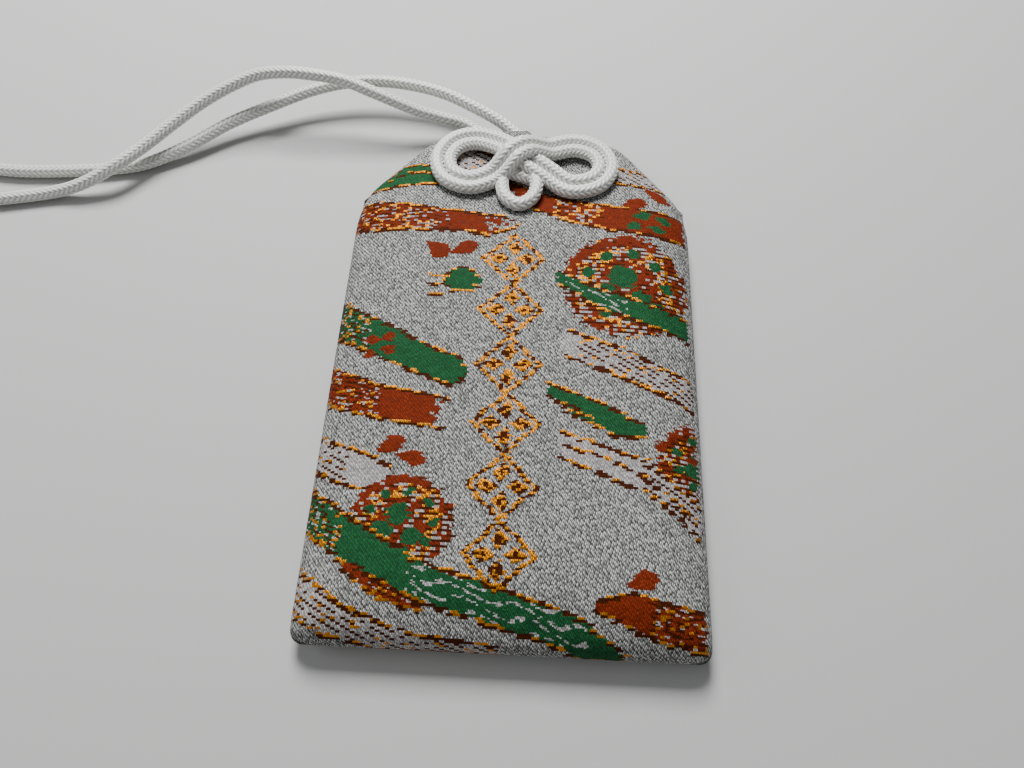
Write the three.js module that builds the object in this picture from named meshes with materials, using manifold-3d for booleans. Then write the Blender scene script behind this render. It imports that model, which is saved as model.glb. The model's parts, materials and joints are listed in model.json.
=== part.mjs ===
// An omamori charm: a flat brocade pouch with a paper-wrapped talisman inside,
// closed at the neck by a white braided cord that is tied in a double-eared bow knot
// and carries on as a strap loop. Millimetres, +Z up.
// The pouch lies on its back: +X is its right side, +Y points to the mouth, +Z is the front.
import * as THREE from 'three';
import { mergeVertices } from 'three/addons/utils/BufferGeometryUtils.js';
import Module from 'manifold-3d';

const wasm = await Module();
wasm.setup();

// Pouch outline
const BAG_WIDTH = 45;
const BAG_HEIGHT = 72;
const TOP_EDGE_WIDTH = 26;
const TOP_EDGE_BOW = 1.5;
const SHOULDER_DROP = 12;
const BOTTOM_CORNER_RADIUS = 1.6;
const SHOULDER_RADIUS = 4;

// Pouch cloth and swell
const CLOTH_THICKNESS = 0.5;
const FRONT_RISE = 3.3;
const BACK_RISE = 2;
const CROWN_REACH = 7;
const SEAM_GAP = 0.5;
const NECK_LENGTH = 22;
const NECK_FALL = 0.35;
const OUTLINE_CORNER_STEPS = 3;
const OUTLINE_EDGE_STEPS = 4;
const CROWN_STEPS = 4;

// Lining and sewing thread
const LINING_THICKNESS = 0.25;
const LINING_GAP = 0.15;
const LINING_RIM_SETBACK = 0.6;
const LINING_NECK_CLEARANCE = 1;
const THREAD_DIAMETER = 0.26;
const SEAM_SETBACK = 0.25;
const SEAM_END_MARGIN = 3;
const SEAM_STEPS = 12;
const SEAM_SIDES = 6;

// Inner pieces
const LAYER_GAP = 0.15;
const PAPER_THICKNESS = 0.2;
const SLIP_WIDTH = 24;
const SLIP_THICKNESS = 1;
const SLIP_POINT = 3;
const WRAPPER_MARGIN = 2;
const CARD_WIDTH = 32;
const CARD_LENGTH = 46;
const CARD_THICKNESS = 0.8;
const CARD_CORNER = 4;
const INSERT_BOTTOM = 7.5;

// Cord
const CORD_DIAMETER = 1.8;
const KNOT_CORD_DIAMETER = 1.5;
const CORD_SIDES = 8;
const LEAD_STEPS = 12;
const CORD_GAP = 0.3;

// Knot on the neck's front
const KNOT_X = -0.6;
const KNOT_FROM_TOP = 8;
const EYELET_SPACING = 3;
const EYELET_CLEARANCE = 0.3;
const EAR_CENTRE_OFFSET = 7.1;
const EAR_HALF_WIDTH = 4.85;
const EAR_HALF_HEIGHT = 5;
const EAR_PITCH = 1.95;
const EAR_TILT = 0.08;
const EAR_START = 25;
const EAR_END = 675;
const EAR_STEP_IN_FROM = 340;
const EAR_STEP_IN_TO = 380;
const EAR_STEPS = 48;
const EAR_SIDES = 6;
const LEAST_SELF_GAP = 0.4;
const SELF_GAP_SAMPLES = 400;
const CROSSING_PITCH = 2.4;
const CROSSING_LENGTH = 6.4;
const CROSSING_SINK = 0.9;
const DROP_LENGTH = 5.4;
const DROP_WIDTH = 4.4;
const DROP_NECK_WIDTH = 2.8;
const DROP_FOOT_SHARE = 2 / 3;
const DROP_STEPS = 16;

// Mouth in the top edge, where the two strands of the strap leave
const LEFT_EXIT_X = -6.5;
const RIGHT_EXIT_X = -0.9;
const LEFT_EXIT_LEAN = 53;
const RIGHT_EXIT_LEAN = 57;
const EXIT_RUN = 3.5;
const MOUTH_SIDE_CLEARANCE = 1.3;
const MOUTH_CLEARANCE = 0.4;
const MOUTH_DEPTH = 3;

// Strap loop: left strand out, bight, right strand back
const STRAP_STEPS = 78;
const STRAP_ROUTE = [
  [-9.3, 37.6, 2.6],
  [-12.5, 38.0, 3.2],
  [-15.6, 38.2, 4.0],
  [-18.5, 38.6, 5.0],
  [-22.4, 39.4, 6.2],
  [-26.6, 40.4, 7.2],
  [-30.5, 40.7, 7.7],
  [-34.7, 40.9, 7.8],
  [-39.0, 40.8, 7.2],
  [-43.0, 39.3, 6.3],
  [-47.1, 36.9, 5.2],
  [-50.9, 33.6, 4.2],
  [-54.5, 29.8, 3.5],
  [-57.8, 26.4, 3.2],
  [-62.0, 24.2, 2.0],
  [-66.1, 23.2, 1.1],
  [-73.6, 21.6, 0.95],
  [-81.0, 20.4, 0.95],
  [-88.0, 19.8, 0.95],
  [-93.5, 21.0, 0.95],
  [-95.6, 24.4, 0.95],
  [-93.2, 27.7, 0.95],
  [-88.0, 28.6, 0.95],
  [-81.0, 27.5, 0.95],
  [-73.4, 26.7, 0.95],
  [-66.2, 27.0, 0.95],
  [-60.2, 27.7, 0.95],
  [-55.2, 28.9, 0.95],
  [-49.6, 31.9, 1.5],
  [-43.7, 36.1, 2.3],
  [-37.6, 39.4, 3.0],
  [-31.6, 42.1, 3.7],
  [-25.4, 43.6, 4.1],
  [-19.2, 43.6, 4.1],
  [-13.0, 42.4, 3.8],
  [-8.4, 40.5, 3.3],
  [-3.9, 38.2, 2.6],
];

// Sizes that follow from those above
const BOTTOM_Y = -BAG_HEIGHT / 2;
const TOP_Y = BAG_HEIGHT / 2;
const SEAM_Z = BACK_RISE + SEAM_GAP / 2;
const FRONT_BASE_Z = BACK_RISE + SEAM_GAP;
const KNOT_Y = TOP_Y - KNOT_FROM_TOP;
const CORD_RADIUS = CORD_DIAMETER / 2;
const KNOT_CORD_RADIUS = KNOT_CORD_DIAMETER / 2;

const charm = new THREE.Group();

function finish(colour, roughness, metalness = 0) {
  return new THREE.MeshStandardMaterial({ color: colour, roughness, metalness });
}

const BROCADE = finish(0xd6d6d2, 0.45);
const LINING = finish(0xf0eee6, 0.85);
const THREAD = finish(0xe8e8e4, 0.6);
const PAPER = finish(0xf4f0e4, 0.9);
const WOOD = finish(0xd8b98a, 0.7);
const CARD = finish(0xb9aa90, 0.9);
const CORD = finish(0xf6f6f4, 0.6);

function add(name, geometry, material) {
  geometry.computeVertexNormals();
  const mesh = new THREE.Mesh(geometry, material);
  mesh.name = name;
  charm.add(mesh);
  return mesh;
}

// Solids for cutting and joining

function toSolid(geometry) {
  const bare = geometry.clone();
  bare.deleteAttribute('normal');
  bare.deleteAttribute('uv');
  const merged = mergeVertices(bare, 1e-4);
  const mesh = new wasm.Mesh({
    numProp: 3,
    vertProperties: new Float32Array(merged.attributes.position.array),
    triVerts: new Uint32Array(merged.index.array),
  });
  return new wasm.Manifold(mesh);
}

function toGeometry(solid) {
  const mesh = solid.getMesh();
  const geometry = new THREE.BufferGeometry();
  geometry.setAttribute('position', new THREE.BufferAttribute(new Float32Array(mesh.vertProperties), 3));
  geometry.setIndex(new THREE.BufferAttribute(new Uint32Array(mesh.triVerts), 1));
  return geometry;
}

function meshOf(points, triangles) {
  const geometry = new THREE.BufferGeometry();
  geometry.setAttribute('position', new THREE.Float32BufferAttribute(points.flatMap((p) => [p.x, p.y, p.z]), 3));
  geometry.setIndex(triangles);
  return geometry;
}

// Pouch outline, set in from the edge

function lineInset(from, to, inset) {
  const along = new THREE.Vector2().subVectors(to, from).normalize();
  const inward = new THREE.Vector2(-along.y, along.x);
  return { origin: from.clone().addScaledVector(inward, inset), along };
}

function crossing(a, b) {
  const gap = new THREE.Vector2().subVectors(b.origin, a.origin);
  const reach = gap.cross(b.along) / a.along.cross(b.along);
  return a.origin.clone().addScaledVector(a.along, reach);
}

function filletPoints(corner, before, after, radius) {
  const turn = Math.acos(THREE.MathUtils.clamp(before.dot(after), -1, 1));
  const reach = radius * Math.tan(turn / 2);
  const start = corner.clone().addScaledVector(before, -reach);
  const centre = start.clone().addScaledVector(new THREE.Vector2(-before.y, before.x), radius);
  const spoke = new THREE.Vector2().subVectors(start, centre);
  const points = [];
  for (let i = 0; i <= OUTLINE_CORNER_STEPS; i += 1) {
    const angle = (turn * i) / OUTLINE_CORNER_STEPS;
    points.push(spoke.clone().rotateAround(new THREE.Vector2(), angle).add(centre));
  }
  return points;
}

function halfOutline(inset) {
  const half = BAG_WIDTH / 2;
  const shoulderTop = TOP_Y - TOP_EDGE_BOW;
  const corners = [
    new THREE.Vector2(0, BOTTOM_Y),
    new THREE.Vector2(half, BOTTOM_Y),
    new THREE.Vector2(half, shoulderTop - SHOULDER_DROP),
    new THREE.Vector2(TOP_EDGE_WIDTH / 2, shoulderTop),
    new THREE.Vector2(0, TOP_Y),
  ];
  const lines = [];
  for (let i = 0; i < corners.length - 1; i += 1) {
    lines.push(lineInset(corners[i], corners[i + 1], inset));
  }
  const radii = [BOTTOM_CORNER_RADIUS, SHOULDER_RADIUS, SHOULDER_RADIUS];
  const middle = { origin: new THREE.Vector2(0, 0), along: new THREE.Vector2(0, 1) };
  const stretches = [[crossing(lines[0], middle)]];
  radii.forEach((radius, i) => {
    const corner = crossing(lines[i], lines[i + 1]);
    const rounded = Math.max(radius - inset / 2, radius / 4);
    stretches.push(filletPoints(corner, lines[i].along, lines[i + 1].along, rounded));
  });
  stretches.push([crossing(lines[lines.length - 1], middle)]);
  const points = [];
  stretches.forEach((stretch, i) => {
    points.push(...stretch);
    if (i < stretches.length - 1) {
      const from = stretch[stretch.length - 1];
      const to = stretches[i + 1][0];
      for (let k = 1; k < OUTLINE_EDGE_STEPS; k += 1) {
        points.push(from.clone().lerp(to, k / OUTLINE_EDGE_STEPS));
      }
    }
  });
  return points;
}

// A dished sheet of even thickness that follows the pouch's swell

function neckFactor(y, fall) {
  return 1 - fall * THREE.MathUtils.smoothstep(y, TOP_Y - NECK_LENGTH, TOP_Y);
}

function crownRing(sheet, inset, share, depth) {
  const half = halfOutline(inset);
  const mirrored = half.slice(1, -1).reverse().map((p) => new THREE.Vector2(-p.x, p.y));
  return [...half, ...mirrored].map((p) => {
    const rise = (sheet.rise * neckFactor(p.y, sheet.fall) - depth) * share;
    return new THREE.Vector3(p.x, p.y, sheet.base + sheet.side * rise);
  });
}

function dishedSheet(sheet) {
  const rings = [];
  const steps = [...Array(CROWN_STEPS + 1).keys()].map((i) => (i / CROWN_STEPS) * (Math.PI / 2));
  const skins = [
    { inset: sheet.setback, depth: sheet.depth },
    { inset: sheet.setback + sheet.thickness, depth: sheet.depth + sheet.thickness },
  ];
  skins.forEach((skin) => {
    const run = CROWN_REACH - skin.inset;
    rings.push(steps.map((t) => crownRing(
      sheet,
      skin.inset + run * (1 - Math.cos(t)),
      Math.sin(t),
      skin.depth,
    )));
  });
  const [outer, inner] = rings;
  const path = [...outer.slice().reverse(), ...inner];
  const count = path[0].length;
  const halfCount = count / 2;
  const points = path.flat();
  const triangles = [];
  const face = (a, b, c) => triangles.push(...(sheet.side > 0 ? [a, b, c] : [a, c, b]));
  for (let r = 0; r < path.length - 1; r += 1) {
    for (let i = 0; i < count; i += 1) {
      const j = (i + 1) % count;
      const a = r * count + i;
      const b = r * count + j;
      const c = (r + 1) * count + j;
      const d = (r + 1) * count + i;
      face(a, d, c);
      face(a, c, b);
    }
  }
  const cap = (ring, flip) => {
    const at = (i) => ring * count + (i % count);
    const put = (a, b, c) => (flip ? face(a, c, b) : face(a, b, c));
    put(at(0), at(1), at(count - 1));
    for (let i = 1; i < halfCount - 1; i += 1) {
      put(at(i), at(i + 1), at(count - i - 1));
      put(at(i), at(count - i - 1), at(count - i));
    }
    put(at(halfCount - 1), at(halfCount), at(halfCount + 1));
  };
  cap(0, false);
  cap(path.length - 1, true);
  return meshOf(points, triangles);
}

function boxBetween(low, high) {
  const size = new THREE.Vector3().subVectors(high, low);
  const geometry = new THREE.BoxGeometry(size.x, size.y, size.z);
  geometry.translate((low.x + high.x) / 2, (low.y + high.y) / 2, (low.z + high.z) / 2);
  return geometry;
}

// Cords and threads

function roundSection(radius, sides) {
  const points = [];
  for (let i = 0; i < sides; i += 1) {
    const angle = (2 * Math.PI * i) / sides;
    points.push(new THREE.Vector2(radius * Math.cos(angle), radius * Math.sin(angle)));
  }
  return new THREE.Shape(points);
}

function cordAlong(curve, radius, steps, sides = CORD_SIDES) {
  return new THREE.ExtrudeGeometry(roundSection(radius, sides), { extrudePath: curve, steps, bevelEnabled: false });
}

function curveThrough(points) {
  return new THREE.CatmullRomCurve3(points.map((p) => new THREE.Vector3(...p)));
}

// Pouch

const FRONT_SHEET = { base: FRONT_BASE_Z, side: 1, rise: FRONT_RISE, fall: NECK_FALL };
const BACK_SHEET = { base: BACK_RISE, side: -1, rise: BACK_RISE, fall: 0 };
const OUTER = { setback: 0, depth: 0, thickness: CLOTH_THICKNESS };
const INNER = {
  setback: CLOTH_THICKNESS + LINING_RIM_SETBACK,
  depth: CLOTH_THICKNESS + LINING_GAP,
  thickness: LINING_THICKNESS,
};

function mouthCut() {
  const reach = CORD_RADIUS + MOUTH_CLEARANCE;
  const sideReach = CORD_RADIUS + MOUTH_SIDE_CLEARANCE;
  return toSolid(boxBetween(
    new THREE.Vector3(LEFT_EXIT_X - sideReach, TOP_Y - MOUTH_DEPTH, SEAM_Z - reach),
    new THREE.Vector3(RIGHT_EXIT_X + sideReach, TOP_Y + MOUTH_DEPTH, SEAM_Z + reach),
  ));
}

// The linings stop short of the hem that the cord runs through.
function hemCut() {
  const low = KNOT_Y - CORD_RADIUS - LINING_NECK_CLEARANCE;
  return toSolid(boxBetween(
    new THREE.Vector3(-BAG_WIDTH, low, -BACK_RISE),
    new THREE.Vector3(BAG_WIDTH, TOP_Y + MOUTH_DEPTH, FRONT_BASE_Z + 2 * FRONT_RISE),
  ));
}

function frontSurfaceAt(y) {
  return FRONT_BASE_Z + FRONT_RISE * neckFactor(y, NECK_FALL);
}

function eyeletX(side) {
  return KNOT_X + (side * EYELET_SPACING) / 2;
}

function eyeletCut(side) {
  const radius = CORD_RADIUS + EYELET_CLEARANCE;
  const hole = new THREE.CylinderGeometry(radius, radius, FRONT_RISE, CORD_SIDES);
  hole.rotateX(Math.PI / 2);
  hole.translate(eyeletX(side), KNOT_Y, frontSurfaceAt(KNOT_Y));
  return toSolid(hole);
}

function cutSheet(sheet, cuts) {
  let solid = toSolid(dishedSheet(sheet));
  cuts.forEach((cut) => {
    solid = solid.subtract(cut);
  });
  return toGeometry(solid);
}

const neckCuts = [mouthCut(), eyeletCut(-1), eyeletCut(1)];
add('front_panel', cutSheet({ ...FRONT_SHEET, ...OUTER }, neckCuts), BROCADE);
add('back_panel', cutSheet({ ...BACK_SHEET, ...OUTER }, [mouthCut()]), BROCADE);
add('front_lining', cutSheet({ ...FRONT_SHEET, ...INNER }, [hemCut()]), LINING);
add('back_lining', cutSheet({ ...BACK_SHEET, ...INNER }, [hemCut()]), LINING);

// Seam threads between the two rims

function seamThread(points) {
  const curve = new THREE.CurvePath();
  const places = points.map((p) => new THREE.Vector3(p.x, p.y, SEAM_Z));
  for (let i = 0; i < places.length - 1; i += 1) {
    curve.add(new THREE.LineCurve3(places[i], places[i + 1]));
  }
  return cordAlong(curve, THREAD_DIAMETER / 2, SEAM_STEPS, SEAM_SIDES);
}

const seamX = BAG_WIDTH / 2 - SEAM_SETBACK;
const seamLow = BOTTOM_Y + SEAM_END_MARGIN;
const seamHigh = TOP_Y - TOP_EDGE_BOW - SHOULDER_DROP - SEAM_END_MARGIN;
const seamBottom = BOTTOM_Y + SEAM_SETBACK;
[['left_seam', -1], ['right_seam', 1]].forEach(([name, side]) => {
  const ends = [new THREE.Vector2(side * seamX, seamLow), new THREE.Vector2(side * seamX, seamHigh)];
  add(name, seamThread(ends), THREAD);
});
const bottomSpan = BAG_WIDTH / 2 - SEAM_END_MARGIN;
add('bottom_seam', seamThread([
  new THREE.Vector2(-bottomSpan, seamBottom),
  new THREE.Vector2(bottomSpan, seamBottom),
]), THREAD);

// Talisman slip in its folded paper wrapper, and the stiffening card over it

const insertY = BOTTOM_Y + INSERT_BOTTOM;
const wrapperLength = CARD_LENGTH;
const liningTop = CLOTH_THICKNESS + LINING_GAP + LINING_THICKNESS;
const wrapperBase = liningTop + LAYER_GAP;
const slipBase = wrapperBase + PAPER_THICKNESS + LAYER_GAP;
const slipTop = slipBase + SLIP_THICKNESS;
const flapOneBase = slipTop + LAYER_GAP;
const flapTwoBase = flapOneBase + PAPER_THICKNESS + LAYER_GAP;
const cardBase = flapTwoBase + PAPER_THICKNESS + LAYER_GAP;

function extrudedFlat(outline, base, thickness) {
  const geometry = new THREE.ExtrudeGeometry(new THREE.Shape(outline), { depth: thickness, bevelEnabled: false });
  geometry.translate(0, 0, base);
  return geometry;
}

// The slip has a low gable at its top edge.
const slipHalf = SLIP_WIDTH / 2;
const slipLow = insertY + WRAPPER_MARGIN;
const slipHigh = insertY + wrapperLength - WRAPPER_MARGIN;
add('talisman_slip', extrudedFlat([
  new THREE.Vector2(-slipHalf, slipLow),
  new THREE.Vector2(slipHalf, slipLow),
  new THREE.Vector2(slipHalf, slipHigh - SLIP_POINT),
  new THREE.Vector2(0, slipHigh),
  new THREE.Vector2(-slipHalf, slipHigh - SLIP_POINT),
], slipBase, SLIP_THICKNESS), WOOD);

// The wrapper is one sheet folded over both long edges of the slip, the second flap over the first.
function wrapperSection() {
  const outer = slipHalf + LAYER_GAP + PAPER_THICKNESS;
  const inner = slipHalf + LAYER_GAP;
  const low = wrapperBase;
  const floor = wrapperBase + PAPER_THICKNESS;
  return [
    new THREE.Vector2(-outer, low),
    new THREE.Vector2(outer, low),
    new THREE.Vector2(outer, flapOneBase + PAPER_THICKNESS),
    new THREE.Vector2(-slipHalf / 2, flapOneBase + PAPER_THICKNESS),
    new THREE.Vector2(-slipHalf / 2, flapOneBase),
    new THREE.Vector2(inner, flapOneBase),
    new THREE.Vector2(inner, floor),
    new THREE.Vector2(-inner, floor),
    new THREE.Vector2(-inner, flapTwoBase),
    new THREE.Vector2(slipHalf / 2, flapTwoBase),
    new THREE.Vector2(slipHalf / 2, flapTwoBase + PAPER_THICKNESS),
    new THREE.Vector2(-outer, flapTwoBase + PAPER_THICKNESS),
  ];
}

const wrapper = new THREE.ExtrudeGeometry(new THREE.Shape(wrapperSection()), {
  depth: wrapperLength,
  bevelEnabled: false,
});
wrapper.rotateX(Math.PI / 2);
wrapper.translate(0, insertY + wrapperLength, 0);
add('slip_wrapper', wrapper, PAPER);

const cardHalf = CARD_WIDTH / 2;
const cardHigh = insertY + CARD_LENGTH;
add('core_card', extrudedFlat([
  new THREE.Vector2(-cardHalf, insertY),
  new THREE.Vector2(cardHalf, insertY),
  new THREE.Vector2(cardHalf, cardHigh - CARD_CORNER),
  new THREE.Vector2(cardHalf - CARD_CORNER, cardHigh),
  new THREE.Vector2(CARD_CORNER - cardHalf, cardHigh),
  new THREE.Vector2(-cardHalf, cardHigh - CARD_CORNER),
], cardBase, CARD_THICKNESS), CARD);

// Leads: the cord from the mouth through the neck and up through its eyelet

function exitDirection(lean) {
  const angle = THREE.MathUtils.degToRad(lean);
  return new THREE.Vector3(-Math.sin(angle), Math.cos(angle), 0);
}

const LEFT_STRAND = { x: LEFT_EXIT_X, towards: exitDirection(LEFT_EXIT_LEAN) };
const RIGHT_STRAND = { x: RIGHT_EXIT_X, towards: exitDirection(RIGHT_EXIT_LEAN) };
const leadTop = frontSurfaceAt(KNOT_Y) + CORD_GAP / 2;

function leadGeometry(strand, side) {
  const mouth = new THREE.Vector3(strand.x, TOP_Y, SEAM_Z);
  const inside = mouth.clone().addScaledVector(strand.towards, -EXIT_RUN);
  const bend = new THREE.Vector3(eyeletX(side), KNOT_Y, SEAM_Z);
  const top = new THREE.Vector3(eyeletX(side), KNOT_Y, leadTop);
  return cordAlong(new THREE.CubicBezierCurve3(mouth, inside, bend, top), CORD_RADIUS, LEAD_STEPS);
}

add('left_lead', leadGeometry(LEFT_STRAND, -1), CORD);
add('right_lead', leadGeometry(RIGHT_STRAND, 1), CORD);

// Ears: two turns of one cord side by side, stepping in where the knot covers them

function earZ(y) {
  const foot = KNOT_Y - EAR_HALF_HEIGHT;
  return frontSurfaceAt(foot) + CORD_GAP + KNOT_CORD_RADIUS - EAR_TILT * (y - foot);
}

function earPoint(side, degrees) {
  const stepIn = THREE.MathUtils.smoothstep(degrees, EAR_STEP_IN_FROM, EAR_STEP_IN_TO) * EAR_PITCH;
  const angle = THREE.MathUtils.degToRad(degrees);
  const x = EAR_CENTRE_OFFSET - (EAR_HALF_WIDTH - stepIn) * Math.cos(angle);
  const y = KNOT_Y + (EAR_HALF_HEIGHT - stepIn) * Math.sin(angle);
  return new THREE.Vector3(KNOT_X + side * x, y, earZ(y));
}

class EarCurve extends THREE.Curve {
  constructor(side) {
    super();
    this.side = side;
  }

  getPoint(t) {
    return earPoint(this.side, EAR_START + (EAR_END - EAR_START) * t);
  }
}

function tubeAlong(curve, radius, steps, sides) {
  const frames = curve.computeFrenetFrames(steps, false);
  const points = [];
  const triangles = [];
  for (let i = 0; i <= steps; i += 1) {
    const centre = curve.getPointAt(i / steps);
    for (let k = 0; k < sides; k += 1) {
      const angle = (2 * Math.PI * k) / sides;
      points.push(centre.clone()
        .addScaledVector(frames.normals[i], radius * Math.cos(angle))
        .addScaledVector(frames.binormals[i], radius * Math.sin(angle)));
    }
  }
  for (let i = 0; i < steps; i += 1) {
    for (let k = 0; k < sides; k += 1) {
      const next = (k + 1) % sides;
      const a = i * sides + k;
      const b = i * sides + next;
      triangles.push(a, b, b + sides, a, b + sides, a + sides);
    }
  }
  for (let k = 1; k < sides - 1; k += 1) {
    triangles.push(0, k + 1, k);
    const last = steps * sides;
    triangles.push(last, last + k, last + k + 1);
  }
  return meshOf(points, triangles);
}

// Points of one turn closer along the cord than two diameters are the same strand.
function leastSelfGap(curve, radius) {
  const points = curve.getSpacedPoints(SELF_GAP_SAMPLES);
  const apart = Math.ceil((4 * radius * SELF_GAP_SAMPLES) / curve.getLength());
  let least = Infinity;
  for (let i = 0; i < points.length; i += 1) {
    for (let j = i + apart; j < points.length; j += 1) {
      least = Math.min(least, points[i].distanceTo(points[j]));
    }
  }
  return least - 2 * radius;
}

[['left_ear', -1], ['right_ear', 1]].forEach(([name, side]) => {
  const curve = new EarCurve(side);
  const gap = leastSelfGap(curve, KNOT_CORD_RADIUS);
  console.log(`${name}: least gap to itself ${gap.toFixed(2)} mm, limit ${LEAST_SELF_GAP}`);
  add(name, tubeAlong(curve, KNOT_CORD_RADIUS, EAR_STEPS, EAR_SIDES), CORD);
});

// Knot centre: two cords across and two along, drawn into one another over the ears' roots

const earRootTop = earZ(KNOT_Y - EAR_HALF_HEIGHT) + KNOT_CORD_RADIUS;
const acrossZ = earRootTop + CORD_GAP + KNOT_CORD_RADIUS;
const alongZ = acrossZ + KNOT_CORD_DIAMETER - CROSSING_SINK;

function straightCord(from, to) {
  return toSolid(cordAlong(new THREE.LineCurve3(from, to), KNOT_CORD_RADIUS, 1));
}

let crossingSolid = null;
[-1, 1].forEach((side) => {
  const shift = (side * CROSSING_PITCH) / 2;
  const reach = CROSSING_LENGTH / 2;
  const across = straightCord(
    new THREE.Vector3(KNOT_X - reach, KNOT_Y + shift, acrossZ),
    new THREE.Vector3(KNOT_X + reach, KNOT_Y + shift, acrossZ),
  );
  const along = straightCord(
    new THREE.Vector3(KNOT_X + shift, KNOT_Y - reach, alongZ),
    new THREE.Vector3(KNOT_X + shift, KNOT_Y + reach, alongZ),
  );
  crossingSolid = crossingSolid ? crossingSolid.add(across).add(along) : across.add(along);
});
add('knot_centre', toGeometry(crossingSolid), CORD);

// Drop loop below the knot

const dropTop = KNOT_Y - CROSSING_LENGTH / 2 - CORD_GAP;
const dropZ = frontSurfaceAt(dropTop - DROP_LENGTH) + CORD_GAP + KNOT_CORD_RADIUS;
const dropMid = dropTop - DROP_LENGTH / 2;
const dropFoot = dropTop - DROP_LENGTH + KNOT_CORD_RADIUS;
const dropStartZ = alongZ - KNOT_CORD_RADIUS;
const footReach = (DROP_WIDTH / 2) * DROP_FOOT_SHARE;
add('drop_loop', cordAlong(curveThrough([
  [KNOT_X - DROP_NECK_WIDTH / 2, dropTop, dropStartZ],
  [KNOT_X - DROP_WIDTH / 2, dropMid, (dropZ + dropStartZ) / 2],
  [KNOT_X - footReach, dropFoot + KNOT_CORD_RADIUS / 2, dropZ],
  [KNOT_X, dropFoot, dropZ],
  [KNOT_X + footReach, dropFoot + KNOT_CORD_RADIUS / 2, dropZ],
  [KNOT_X + DROP_WIDTH / 2, dropMid, (dropZ + dropStartZ) / 2],
  [KNOT_X + DROP_NECK_WIDTH / 2, dropTop, dropStartZ],
]), KNOT_CORD_RADIUS, DROP_STEPS), CORD);

// Strap loop

function strapEnd(strand, reach) {
  return new THREE.Vector3(strand.x, TOP_Y, SEAM_Z).addScaledVector(strand.towards, reach).toArray();
}

const strap = curveThrough([
  strapEnd(LEFT_STRAND, CORD_GAP),
  strapEnd(LEFT_STRAND, CORD_GAP + CORD_RADIUS),
  ...STRAP_ROUTE,
  strapEnd(RIGHT_STRAND, CORD_GAP + CORD_RADIUS),
  strapEnd(RIGHT_STRAND, CORD_GAP),
]);
console.log(`strap_loop: length ${strap.getLength().toFixed(1)} mm`);
add('strap_loop', cordAlong(strap, CORD_RADIUS, STRAP_STEPS), CORD);

export default charm;
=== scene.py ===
"""An omamori charm: a silver-white brocade pouch closed by a white braided cord.

Every piece sits in the frame of the CAD parts. Sizes in the classes are millimetres,
and become metres where a mesh is made.
"""

from __future__ import annotations

import json
import logging
import math
from dataclasses import dataclass, field
from enum import Enum
from typing import Protocol, Sequence

import bpy
import numpy as np
from mathutils import Matrix, Vector

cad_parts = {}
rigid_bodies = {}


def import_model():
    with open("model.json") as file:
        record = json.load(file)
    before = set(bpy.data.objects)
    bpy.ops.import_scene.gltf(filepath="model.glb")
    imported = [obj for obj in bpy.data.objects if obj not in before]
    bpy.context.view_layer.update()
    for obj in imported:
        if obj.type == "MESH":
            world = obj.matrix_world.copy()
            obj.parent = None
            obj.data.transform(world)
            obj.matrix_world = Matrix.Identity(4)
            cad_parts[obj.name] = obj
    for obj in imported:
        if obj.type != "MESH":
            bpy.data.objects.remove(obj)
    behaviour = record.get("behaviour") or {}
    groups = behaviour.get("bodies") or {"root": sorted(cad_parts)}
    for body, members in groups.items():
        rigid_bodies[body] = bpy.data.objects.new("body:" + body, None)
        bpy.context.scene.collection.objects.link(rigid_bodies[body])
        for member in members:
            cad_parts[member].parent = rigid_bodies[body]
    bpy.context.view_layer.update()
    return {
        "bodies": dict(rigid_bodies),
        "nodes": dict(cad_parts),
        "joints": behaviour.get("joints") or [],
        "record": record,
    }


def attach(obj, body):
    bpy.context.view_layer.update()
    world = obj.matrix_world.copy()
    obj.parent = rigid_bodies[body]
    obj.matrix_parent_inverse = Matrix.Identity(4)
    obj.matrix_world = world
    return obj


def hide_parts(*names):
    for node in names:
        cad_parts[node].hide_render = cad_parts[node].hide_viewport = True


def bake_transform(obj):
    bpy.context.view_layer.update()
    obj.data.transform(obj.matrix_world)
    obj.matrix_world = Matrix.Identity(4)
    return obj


LOG = logging.getLogger("omamori")
MM = 0.001
ROUTE_STEPS = 24
LEAST_AREA = 1e-5

Point2 = tuple[float, float]
Point3 = tuple[float, float, float]
Colour = tuple[float, float, float]


def speckle(i: np.ndarray, j: np.ndarray, seed: float) -> np.ndarray:
    """Give a steady pseudo-random value for each pair of cell numbers.

    Args:
        i: Column numbers.
        j: Row numbers.
        seed: A number that makes one pattern differ from another.

    Returns:
        Values from 0 to 1, the same in every run.
    """
    wave = np.sin(i * 12.9898 + j * 78.233 + seed * 37.719) * 43758.5453
    return wave - np.floor(wave)


def ease(values: np.ndarray, low: float, high: float) -> np.ndarray:
    """Step smoothly from 0 at low to 1 at high."""
    t = np.clip((values - low) / (high - low), 0.0, 1.0)
    return t * t * (3.0 - 2.0 * t)


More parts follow.
